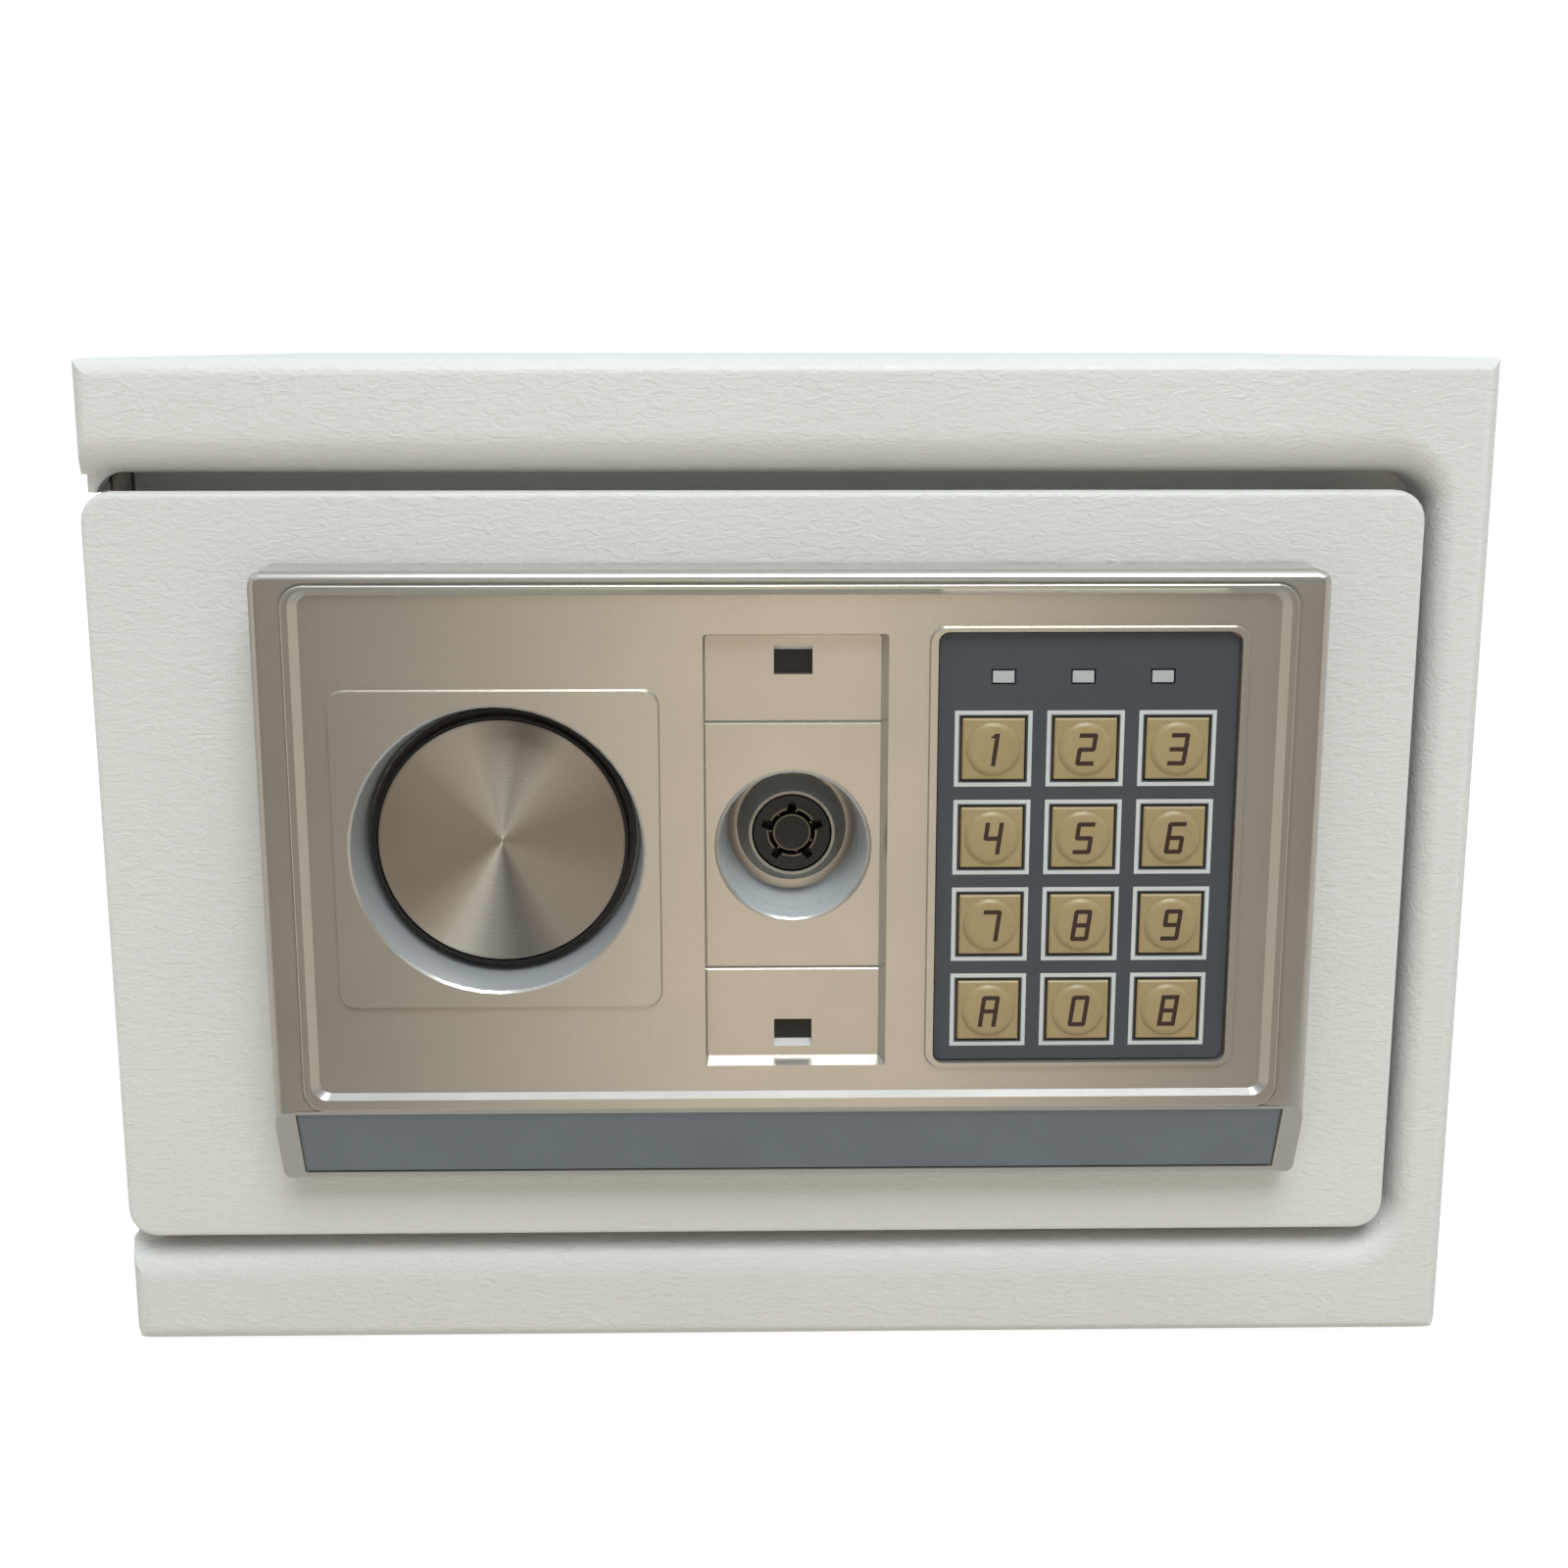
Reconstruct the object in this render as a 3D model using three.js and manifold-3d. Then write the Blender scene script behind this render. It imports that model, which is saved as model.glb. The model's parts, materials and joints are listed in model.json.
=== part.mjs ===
// A small electronic safe: a folded steel body, a recessed door on hidden pins, a moulded panel with
// a sunk knob, an emergency lock and a keypad, and the bolt work behind the door.
// Millimetres, X to the right, Y away from the front, Z up. Depths along Y count from the front face
// of the body, and the root group puts the origin under the middle of the whole safe.
import * as THREE from "three";
import { mergeVertices } from "three/addons/utils/BufferGeometryUtils.js";
import Module from "manifold-3d";

const wasm = await Module();
wasm.setup();

// General
const seat = 0.3; // gap between a piece and what it rests on
const reach = 5; // how far a cutter runs past what it cuts

// Body
const bodyWidth = 230;
const bodyHeight = 170;
const bodyDepth = 170;
const sheet = 1.5;
const bodyEdgeRadius = 3;
const bodyTopCornerRadius = 1;
const bodyBottomCornerRadius = 3.5;
const anchorRadius = 5;
const backAnchorSpacing = 100;
const floorAnchorSpacing = 120;

// Recess in the body's front, open on the hinge side
const railFlat = 11.3;
const railRoll = 7.2;
const stileFlat = 5.7;
const stileRoll = 4.2;
const recessDepth = 12.5;
const recessCornerRadius = 13;
const endFlange = 11.5; // from the recess wall to the opening, above and below
const hingeFlange = 17;
const lockFlange = 13;
const apertureCornerRadius = 3;

// Door
const doorThickness = 3;
const doorProud = 1;
const doorInset = 0.5; // behind the body's side
const doorEndGap = 2.2;
const doorDrop = 0.4;
const doorLockGap = 1.5;
const doorCornerRadius = 5;
const doorEdgeRadius = 1.2;

// Hinge
const hingeInset = 5.2; // from the body's side to the axis
const pinRadius = 2;
const pinHeadThickness = 1.5;
const pinBite = 9; // length of pin inside its knuckle
const knuckleRadius = 3.3;
const knuckleLength = 14;
const knuckleDrop = 1.5; // below the door's top edge
const bracketThickness = 2;
const bracketLength = 11;
const bracketDepth = 11;
const bracketRise = 5; // from the recess wall to the bracket
const bracketMargin = 1.6; // in front of the pin
const bracketCornerRadius = 2;
const pinStand = 2.1; // from the knuckle's round nose to the door
const hingeWallFront = 5; // the body's side behind the door's hinge edge
const hingeWallSlope = 1.1;
const hingeCornerRadius = 5;
const hingeSweep = 3; // depth over which the recess's left corners grow
const knuckleRoom = 1; // round a knuckle, in the notch that it swings into

// Panel on the door
const panelWidth = 171.2;
const panelHeight = 104.1;
const panelRise = 0.25; // the panel's middle above the body's middle
const panelProud = 11;
const panelEdgeRadius = 1.5;
const panelFootCornerRadius = 2;
const panelHeadCornerRadius = 1.2;
const panelWall = 2.2;
const chinHeight = 14.4;
const chinSetback = 5.5;
const fieldSink = 0.6; // from the panel's border down to its field
const ridgeHeight = 0.5;
const ridgeCornerRadius = 3.6;
// The ridge's distance from the panel's edge, its width and the width of its inner slope
const ridgeSides = { inset: 5.2, width: 1.3, slope: 1.3 };
const ridgeTop = { inset: 2.1, width: 0.7, slope: 1 };
const ridgeChin = { inset: 0.3, width: 2, slope: 0.9 };
const grooveWidth = 0.6; // outside the ridge
const grooveDepth = 0.5;
const stripInset = 3.9;
const stripMargin = 0.7; // above the strip, below the crease
const stripFoot = 1.8; // below the strip
const stripThickness = 0.8;
const stripSink = 0.4;
const bossRadius = 3.2;
const bossBore = 1.2;
const bossBoreDepth = 6;
const bossInset = 7;

// Knob in its well
const knobX = -47.5;
const knobRise = 6.75; // above the panel's middle
const knobPlateSize = 53;
const knobPlateHeight = 0.6;
const knobPlateCornerRadius = 2.6;
const wellRimRadius = 23.6;
const wellFootRadius = 22.3;
const wellWall = 1.6;
const knobFaceSink = 6.8; // from the plate to the knob's face
const knobRadius = 21;
const knobFlangeRadius = 21.9;
const knobFlangeThickness = 1.6;
const knobFootGap = 0.6;
const wellChamfer = 0.4;
const discRadius = 20.3;
const discThickness = 0.6;
const discDish = 0.3;
const knobWeb = 1; // between the disc's seat and the shaft's bore
const shaftRadius = 4;
const crankRadius = 11;
const crankHalfTurn = 35; // degrees each side of straight down
const crankPinRadius = 2.2;
const crankPinRise = 2; // behind the carriage plate
const crankWidth = 9;
const crankThickness = 2.5;
const crankGap = 5; // from the door's back to the crank
const bushWall = 2;
const bushFlange = 3;
const bushFlangeThickness = 2;
const slotClearance = 0.35;

// Lock column
const columnWidth = 28.2;
const columnAbove = 34.7; // the lock
const columnBelow = 35.8;
const columnSurround = 2; // solid round the column, behind the panel's face
const columnSink = 2.2;
const columnTopDraft = 0.5;
const columnBottomDraft = 1;
const columnLeftDraft = 0.3;
const columnRightDraft = 1.1;
const columnCornerRadius = 0.5;
const columnBacking = 4.6;
const lineOffset = 20.6;
const lineWidth = 0.7;
const lineDepth = 0.35;
const clipWidth = 6.2;
const clipHeight = 4.7;
const clipDepth = 3.4;
const clipInset = 1.6; // from the column's end
const clipSlope = 1.8;
const funnelRimRadius = 12.1;
const funnelLip = 0.9; // round edge of the rim
const funnelFootRadius = 11;
const funnelDepth = 13.8;
const funnelFloorThickness = 1.4;
const funnelTubeRadius = 13.2;
const funnelJointGap = 0.1; // between the panel's half and the tube's

// Emergency lock
const lockX = 0.3;
const lockHeadRadius = 7.2;
const lockFlangeRadius = 9.2;
const lockFlangeThickness = 0.5;
const lockHeadHeight = 4.6;
const lockBodyRadius = 8;
const lockBodyLength = 14;
const lockCoreRadius = 6.4;
const lockCoreSink = 0.2;
const keywayOuter = 4.3;
const keywayInner = 2.8;
const keywayDepth = 6;
const keyNotchWidth = 1.3;
const keyNotchReach = 0.9;
const keyNotches = 5;
const lockNutWidth = 22;
const lockNutThickness = 3;
const lockTailRadius = 3;
const lockTailGap = 2.6; // from the cylinder's end to the tail
const lockCamLength = 18;
const lockCamWidth = 9;
const lockCamThickness = 1.6;
const lockCamEye = 2.2; // metal around the tail

// Keypad
const keypadX = 47.5;
const keypadDrop = 0.4; // below the lock
const rimWidth = 51.3;
const rimHeight = 73.8;
const rimRise = 0.6;
const rimCornerRadius = 2.6;
const overlayWidth = 47.8;
const overlayHeight = 71.3;
const overlayThickness = 1.2;
const overlaySink = 1.1; // below the rim's top
const overlayCornerRadius = 1.4;
const ledge = 1.5;
const ledgeThickness = 1.6;
const ledgeSurround = 2.5; // solid round the overlay, behind the panel's face
const keyColumnPitch = 14.8;
const keyRowPitch = 14.65;
const keyBlockX = 47.2;
const keyBlockDrop = 5.1; // below the keypad's middle
const keySize = 10;
const keyProud = 0.4;
const keyDomeRadius = 4.35;
const keyDomeHeight = 0.3;
const keyFlangeSize = 11.6;
const keyFlangeThickness = 0.6;
const keyStemRadius = 3;
const keyTravel = 0.5;
const lightRise = 28.6; // above the keypad's middle
const lightPitch = 12.75;
const lightX = 46.6;
const lightWidth = 3.4;
const lightHeight = 1.9;
const lightBarThickness = 1;
const lightBarMargin = 1.2;
const boardThickness = 1.6;

// Bolt work behind the door
const plateY = 11; // front of the carriage plate
const plateThickness = 2;
const carriagePastKnob = 16.5; // to the left of the knob's middle
const carriageBelow = 18; // the knob's middle
const carriageAbove = 8;
const carriageGap = 20; // to the bolt guide
const carriageHeadWidth = 14;
const carriageCornerRadius = 3;
const lockNotchGap = 1.2; // round the lock's body
const boltRadius = 6;
const boltLength = 30;
const boltDrop = 2; // the pair's middle below the knob's
const boltEndGap = 23; // from each bolt to the opening's end
const boltTipRadius = 1;
const boltHoleClearance = 0.7;
const boltFootGap = 0.7; // from the keeper's foot to a bolt
const carriageHeadMargin = 8; // beyond the bolt centres
const tabWidth = 3;
const tabHeight = 5;
const tabRamp = 1.2;
const studRadius = 2.5;
const studFootRadius = 4;
const studHeadRadius = 4.5;
const studHeadThickness = 1.7;
const leftStudX = -30;
const rightStudX = 30;
const studDrop = 9; // below the knob's middle
const guideInset = 16.1; // from the opening's side
const guideThickness = 2;
const guideFoot = 6;
const guideMargin = 2; // beyond the bolt holes
const guideRim = 3; // behind the bolts
const keeperThickness = 2;
const keeperDepth = 20;
const keeperFoot = 9;
const keeperMargin = 8;

// Solenoid
const solenoidX = -24;
const solenoidY = 12;
const solenoidWidth = 18;
const solenoidGap = 4.5; // below the cover's top
const solenoidPlate = 2;
const solenoidReach = 20;
const coilRadius = 7.2;
const plungerRadius = 3;
const plungerLift = 0.6; // from the stop tab to the lifted plunger
const plungerTravel = 5;
const plungerTipLength = 4.7;
const collarRadius = 4.6;
const collarThickness = 1;
const springWire = 0.45;
const springTurns = 4.5;
const springRadius = 3.8;
const springLength = 5.1;

// Inner cover
const coverHingeGap = 3; // from the opening's side
const coverLockGap = 5.1;
const coverEndGap = 2;
const coverDepth = 38;
const coverCornerRadius = 4;
const postRadius = 3;
const postBore = 1.7;
const postInset = 6;
const rightPostOffset = 1.5; // keeps the right posts clear of the bolt guide
const batteryPostGap = 3; // from the battery box to the post above it
const screwHeadRadius = 3.2;
const screwHeadHeight = 1.8;
const screwRadius = 1.4;
const screwLength = 8;
const screwSlotLength = 3.6;
const screwSlotWidth = 0.7;
const screwSlotDepth = 0.9;

// Batteries
const cellRadius = 7.1;
const cellLength = 50;
const cellGap = 0.5;
const cellButtonRadius = 2.75;
const cellButtonLength = 1;
const cellRowCount = 2;
const cellColumnCount = 2;
const cellHeadroom = 2;
const boxWall = 1.5;
const boxSideGap = 5; // inside the cover's outline
const boxFootGap = 4;
const lidOverlap = 2; // of the cover over the box's rim
const lidTabWidth = 14;
const lidTabHeight = 3;
const lidTabDepth = 0.8;

// Circuit boards
const circuitLockGap = 3.7; // from the lock's nut
const circuitGuideGap = 4;
const circuitTopGap = 5; // below the cover's top
const circuitRise = 1; // the board's foot above the lock's middle
const circuitStandoff = 3.7;
const standoffRadius = 2.5;
const standoffInset = 4;
const connectorRise = 5; // above the board's foot
const connectorWidth = 14;
const connectorHeight = 4;
// Parts on the main board: middle, width, height and rise, counted from the board's middle
const boardParts = [
  [-13, 8, 16, 9, 1.8],
  [10, 7, 9, 13, 2.2],
  [12, -9, 12, 6, 1.6],
  [-15, -7, 10, 7, 1.2],
];
const capacitorRadius = 2.2;
const capacitorRise = 2.4;
const capacitorPlaces = [
  [-4, -12],
  [3, -12],
];

// Reset button
const resetInset = 20; // from the cover's side
const resetRise = 8; // above the knob's middle
const resetRadius = 2.6;
const resetProud = 1;
const resetTravel = 1;
const resetSwitchSize = 9;
const resetSwitchDepth = 7;
const resetBoreDepth = 5;

// Places worked out from the sizes above
const recessRight = bodyWidth / 2 - stileFlat - stileRoll;
const recessBottom = railFlat + railRoll;
const recessTop = bodyHeight - recessBottom;
const apertureLeft = -bodyWidth / 2 + hingeFlange;
const apertureRight = recessRight - lockFlange;
const apertureBottom = recessBottom + endFlange;
const apertureTop = recessTop - endFlange;
const doorFront = -doorProud;
const doorBack = doorFront + doorThickness;
const doorLeft = -bodyWidth / 2 + doorInset;
const doorRight = recessRight - doorLockGap;
const doorBottom = recessBottom + doorEndGap - doorDrop;
const doorTop = recessTop - doorEndGap - doorDrop;
const mountY = doorBack + seat; // where pieces sit on the door's back
const hingeX = -bodyWidth / 2 + hingeInset;
const pinHeadRadius = hingeInset - sheet - seat;
const hingeY = mountY + knuckleRadius + pinStand;
const panelBack = doorFront - seat;
const panelFront = doorFront - panelProud;
const panelMiddle = bodyHeight / 2 + panelRise;
const panelBottom = panelMiddle - panelHeight / 2;
const panelTop = panelMiddle + panelHeight / 2;
const panelRight = panelWidth / 2;
const crease = panelBottom + chinHeight;
const chinFoot = panelFront + chinSetback;
const ridgeFront = panelFront - ridgeHeight;
const field = panelFront + fieldSink;
const knobZ = panelMiddle + knobRise;
const lockZ = knobZ;
const columnTop = lockZ + columnAbove;
const columnBottom = lockZ - columnBelow;
const keypadZ = lockZ - keypadDrop;
const keyBlockZ = keypadZ - keyBlockDrop;
const lightZ = keypadZ + lightRise;
const knobPlateFront = field - knobPlateHeight;
const knobFace = knobPlateFront + knobFaceSink;
const discSeat = knobFace + discThickness + seat;
const boreEnd = discSeat + knobWeb;
const knobBack = doorFront - knobFootGap;
const columnFloor = field + columnSink;
const columnBack = columnFloor + columnBacking;
const funnelFloor = columnFloor + funnelDepth;
const funnelFloorBack = funnelFloor + funnelFloorThickness;
const lockHeadFront = funnelFloor - seat - lockHeadHeight;
const rimFront = field - rimRise;
const overlayFront = rimFront + overlaySink;
const overlayBack = overlayFront + overlayThickness;
const ledgeFront = overlayBack + seat;
const ledgeBack = ledgeFront + ledgeThickness;
const keypadBoardFront = ledgeBack + seat;
const crankY = doorBack + crankGap;
const crankTurn = THREE.MathUtils.degToRad(crankHalfTurn);
const boltThrow = 2 * crankRadius * Math.sin(crankTurn);
const coverLeft = apertureLeft + coverHingeGap;
const coverRight = apertureRight - coverLockGap;
const coverBottom = apertureBottom + coverEndGap;
const coverTop = apertureTop - coverEndGap;
const coverBack = mountY + coverDepth;
const guideX = apertureRight - guideInset;
const carriageLeft = knobX - carriagePastKnob;
const carriageRight = guideX - carriageGap;
const carriageBottom = knobZ - carriageBelow;
const carriageTop = knobZ + carriageAbove;
const boltRest = carriageRight + seat;
const boltZ = knobZ - boltDrop;
const boltSpacing = apertureTop - apertureBottom - 2 * boltEndGap;
const studZ = knobZ - studDrop;
const keeperX = apertureRight + seat;
const keeperY = recessDepth + sheet + seat;
const boltY = keeperY + keeperThickness + boltFootGap + boltRadius;
const circuitLeft = lockX + lockNutWidth / 2 + circuitLockGap;
const circuitRight = guideX - circuitGuideGap;
const circuitBottom = lockZ + circuitRise;
const circuitTop = coverTop - circuitTopGap;
const circuitX = (circuitLeft + circuitRight) / 2;
const circuitZ = (circuitBottom + circuitTop) / 2;
const circuitWidth = circuitRight - circuitLeft;
const circuitHeight = circuitTop - circuitBottom;
const circuitFront = doorBack + circuitStandoff + seat;
const connectorX = keyBlockX;
const connectorZ = circuitBottom + connectorRise;
const coreEnd = lockBodyLength + lockTailGap;
const plungerTip = carriageTop + tabHeight + plungerLift;
const collarBottom = plungerTip + plungerTipLength;
const solenoidBottom = collarBottom + collarThickness + springLength + 2 * seat;
const solenoidTop = coverTop - solenoidGap;
const boxLeft = coverLeft + boxSideGap;
const boxBottom = coverBottom + boxFootGap;
const resetX = coverLeft + resetInset;
const resetZ = knobZ + resetRise;

// Materials
function material(color, roughness, metalness) {
  return new THREE.MeshStandardMaterial({ color, roughness, metalness });
}
const enamel = material(0xdedfd9, 0.5, 0);
const steel = material(0x9a9a98, 0.4, 0.9);
const zinc = material(0xb9b6a8, 0.35, 0.9);
const champagne = material(0xb2a896, 0.38, 0.6);
const slate = material(0x4b5258, 0.45, 0);
const stripGrey = material(0x646f76, 0.5, 0.1);
const gold = material(0xb0a070, 0.45, 0.2);
const brushedSteel = material(0x96897a, 0.3, 1);
const blackPlastic = material(0x1c1a18, 0.45, 0);
const lightLens = material(0xc9cdcb, 0.35, 0);
const boardGreen = material(0x2f5d3a, 0.6, 0);
const copper = material(0xa5562e, 0.4, 0.7);
const redPlastic = material(0xb02a22, 0.45, 0);
const cellSleeve = material(0x2d4a6b, 0.4, 0.2);

// Turns a closed three.js geometry into a solid that can be cut and joined
function solid(geometry) {
  const bare = new THREE.BufferGeometry();
  bare.setAttribute("position", geometry.getAttribute("position").clone());
  if (geometry.index) bare.setIndex(geometry.index.clone());
  const merged = mergeVertices(bare, 1e-4);
  const triangles = [];
  const index = merged.index.array;
  for (let i = 0; i < index.length; i += 3) {
    const [a, b, c] = index.slice(i, i + 3);
    if (a !== b && b !== c && c !== a) triangles.push(a, b, c);
  }
  return new wasm.Manifold(
    new wasm.Mesh({
      numProp: 3,
      vertProperties: merged.attributes.position.array,
      triVerts: new Uint32Array(triangles),
    }),
  );
}

// Turns a solid back into a geometry
function surface(shape) {
  const { vertProperties, triVerts } = shape.getMesh();
  const geometry = new THREE.BufferGeometry();
  geometry.setAttribute("position", new THREE.BufferAttribute(vertProperties, 3));
  geometry.setIndex(new THREE.BufferAttribute(triVerts, 1));
  geometry.computeVertexNormals();
  return geometry;
}

// A named piece of the safe, in a group
function piece(group, name, shape, finish, x = 0, y = 0, z = 0) {
  const mesh = new THREE.Mesh(surface(shape), finish.clone());
  mesh.name = name;
  mesh.position.set(x, y, z);
  group.add(mesh);
  return mesh;
}

// A rectangle with a corner radius, or four: bottom left, bottom right, top right, top left
function rectangle(left, bottom, right, top, radius = 0) {
  const radii = Array.isArray(radius) ? radius : [radius, radius, radius, radius];
  const corners = [
    [left, bottom, 1, 1, Math.PI],
    [right, bottom, -1, 1, 1.5 * Math.PI],
    [right, top, -1, -1, 0],
    [left, top, 1, -1, 0.5 * Math.PI],
  ];
  const shape = new THREE.Shape();
  corners.forEach(([x, z, inX, inZ, start], i) => {
    const r = radii[i];
    const middleX = x + inX * r;
    const middleZ = z + inZ * r;
    const fromX = middleX + r * Math.cos(start);
    const fromZ = middleZ + r * Math.sin(start);
    if (i === 0) {
      shape.moveTo(fromX, fromZ);
    } else {
      shape.lineTo(fromX, fromZ);
    }
    if (r > 0) shape.absarc(middleX, middleZ, r, start, start + Math.PI / 2, false);
  });
  shape.closePath();
  return shape;
}

// A rectangle around a centre
function centred(x, z, width, height, radius = 0) {
  return rectangle(x - width / 2, z - height / 2, x + width / 2, z + height / 2, radius);
}

function circle(x, z, radius) {
  const shape = new THREE.Shape();
  shape.absarc(x, z, radius, 0, 2 * Math.PI, false);
  return shape;
}

function polygon(points) {
  return new THREE.Shape(points.map(([u, v]) => new THREE.Vector2(u, v)));
}

// Extrudes an outline seen from the front between two depths
function slab(outline, front, back, curveSegments = 3) {
  const geometry = new THREE.ExtrudeGeometry(outline, {
    depth: back - front,
    bevelEnabled: false,
    curveSegments,
  });
  geometry.rotateX(Math.PI / 2);
  geometry.translate(0, back, 0);
  return solid(geometry);
}

// The same with its front edges rounded
function roundedSlab(outline, front, back, edge, curveSegments = 3, edgeSegments = 2) {
  const geometry = new THREE.ExtrudeGeometry(outline, {
    depth: back - front,
    bevelEnabled: true,
    bevelThickness: edge,
    bevelSize: edge,
    bevelOffset: -edge,
    bevelSegments: edgeSegments,
    curveSegments,
  });
  geometry.rotateX(Math.PI / 2);
  geometry.translate(0, back + edge, 0);
  const everything = rectangle(-bodyWidth, -bodyHeight, bodyWidth, 2 * bodyHeight);
  return solid(geometry).subtract(slab(everything, back, back + reach));
}

// Extrudes an outline of depth and height along X
function sideSection(outline, left, right, curveSegments = 2) {
  const geometry = new THREE.ExtrudeGeometry(outline, {
    depth: right - left,
    bevelEnabled: false,
    curveSegments,
  });
  geometry.applyMatrix4(new THREE.Matrix4().set(0, 0, 1, left, 1, 0, 0, 0, 0, 1, 0, 0, 0, 0, 0, 1));
  return solid(geometry);
}

// Extrudes an outline seen from above along Z
function planSection(outline, bottom, top, curveSegments = 2) {
  const geometry = new THREE.ExtrudeGeometry(outline, {
    depth: top - bottom,
    bevelEnabled: false,
    curveSegments,
  });
  geometry.translate(0, 0, bottom);
  return solid(geometry);
}

// Turns a profile of radius and place about a line along Y through x, z
function turnedY(profile, x, z, segments = 24) {
  const geometry = latheOf(profile, segments);
  geometry.translate(x, 0, z);
  return solid(geometry);
}

// The same about a line along Z through x, y
function turnedZ(profile, x, y, segments = 16) {
  const geometry = latheOf(profile, segments);
  geometry.rotateX(Math.PI / 2);
  geometry.translate(x, y, 0);
  return solid(geometry);
}

// The same about a line along X through y, z
function turnedX(profile, y, z, segments = 16) {
  const geometry = latheOf(profile, segments);
  geometry.rotateZ(-Math.PI / 2);
  geometry.translate(0, y, z);
  return solid(geometry);
}

// A lathe whose profile closes on itself and runs the way that faces outwards
function latheOf(profile, segments) {
  const points = profile.map(([radius, place]) => new THREE.Vector2(radius, place));
  if (THREE.ShapeUtils.isClockWise(points)) points.reverse();
  points.push(points[0].clone());
  return new THREE.LatheGeometry(points, segments);
}

// A plain cylinder's profile
function rod(radius, from, to) {
  return [
    [0, from],
    [radius, from],
    [radius, to],
    [0, to],
  ];
}

// Joins rings of points, one behind the other, into a closed solid
function loft(rings) {
  const count = rings[0].length;
  const positions = rings.flat().flatMap((p) => [p.x, p.y, p.z]);
  const index = [];
  for (let ring = 0; ring + 1 < rings.length; ring++) {
    for (let i = 0; i < count; i++) {
      const a = ring * count + i;
      const b = ring * count + ((i + 1) % count);
      index.push(a, a + count, b, b, a + count, b + count);
    }
  }
  const last = (rings.length - 1) * count;
  for (let i = 1; i + 1 < count; i++) {
    index.push(0, i, i + 1);
    index.push(last, last + i + 1, last + i);
  }
  const geometry = new THREE.BufferGeometry();
  geometry.setAttribute("position", new THREE.Float32BufferAttribute(positions, 3));
  geometry.setIndex(index);
  return solid(geometry);
}

// The points of an outline seen from the front, at a depth
function ringAt(outline, y, curveSegments = 3) {
  const points = outline.extractPoints(curveSegments).shape;
  return points.map((p) => new THREE.Vector3(p.x, y, p.y));
}

function joined(first, ...others) {
  return others.reduce((sum, other) => sum.add(other), first);
}

function cut(shape, ...cutters) {
  return cutters.reduce((rest, cutter) => rest.subtract(cutter), shape);
}

const safe = new THREE.Group();
const body = new THREE.Group();
const door = new THREE.Group();
const panel = new THREE.Group();
const keypad = new THREE.Group();
const boltWork = new THREE.Group();
const lock = new THREE.Group();
const cover = new THREE.Group();
safe.add(body, door);
door.add(panel, boltWork, lock, cover);
panel.add(keypad);

// The body's box, inset by a wall: rounded at its front edges and at the corners of its front
function bodyBox(inset, back) {
  const left = -bodyWidth / 2 + inset;
  const right = bodyWidth / 2 - inset;
  const bottom = inset;
  const top = bodyHeight - inset;
  const edge = bodyEdgeRadius - inset;
  const low = bodyBottomCornerRadius - inset;
  const high = Math.max(bodyTopCornerRadius - inset, 0.2);
  const front = rectangle(left, bottom, right, top, [low, low, high, high]);
  const side = rectangle(inset, bottom, back, top, [edge, 0, 0, edge]);
  const plan = rectangle(left, inset, right, back, [edge, edge, 0, 0]);
  return slab(front, inset, back, 2)
    .intersect(sideSection(side, left - 1, right + 1))
    .intersect(planSection(plan, bottom - 1, top + 1));
}

// The recess: its rails and stile roll inwards from the front face. On the left it is open down to
// the front edge of the body's side, and from there it is closed by that side, with round corners.
// With a wall it is the same recess made larger by that wall.
function recess(wall) {
  const steps = 5;
  const openLeft = -bodyWidth / 2 - hingeCornerRadius;
  const closedLeft = wall > 0 ? openLeft : -bodyWidth / 2 + sheet;
  const outline = (insetX, insetZ, y) => {
    const sweep = THREE.MathUtils.clamp((y - hingeWallFront) / hingeSweep + 1, 0, 1);
    return rectangle(
      THREE.MathUtils.lerp(openLeft, closedLeft, sweep),
      railFlat + insetZ,
      bodyWidth / 2 - stileFlat - insetX,
      bodyHeight - railFlat - insetZ,
      [
        hingeCornerRadius,
        recessCornerRadius - insetZ,
        recessCornerRadius - insetZ,
        hingeCornerRadius,
      ],
    );
  };
  const rings = [ringAt(outline(0, 0, 0), -reach)];
  for (let step = 0; step <= steps; step++) {
    const turn = (step / steps) * (Math.PI / 2);
    const depth = railRoll - (railRoll - wall) * Math.cos(turn);
    const side = (stileRoll - wall) * Math.sin(turn);
    const end = (railRoll - wall) * Math.sin(turn);
    rings.push(ringAt(outline(side, end, depth), depth));
  }
  const back = recessDepth + wall;
  rings.push(ringAt(outline(stileRoll - wall, railRoll - wall, back), back));
  return loft(rings);
}

// Clears the front edge of the body's side for the door's back, which swings round it, and notches
// that side at each knuckle
function hingeRelief() {
  const outside = -bodyWidth / 2 - 1;
  const inside = -bodyWidth / 2 + sheet;
  const front = hingeWallFront;
  const slope = polygon([
    [outside, 0],
    [inside, 0],
    [inside, front],
    [-bodyWidth / 2, front + hingeWallSlope],
    [outside, front + hingeWallSlope],
  ]);
  const relief = planSection(slope, recessBottom + 0.01, recessTop - 0.01);
  const top = doorTop - knuckleDrop + knuckleRoom;
  const bottom = top - knuckleLength - 2 * knuckleRoom;
  const notch = rectangle(outside, 0, inside + sheet, recessDepth);
  return joined(
    relief,
    planSection(notch, bottom, top),
    planSection(notch, bodyHeight - top, bodyHeight - bottom),
  );
}

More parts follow.
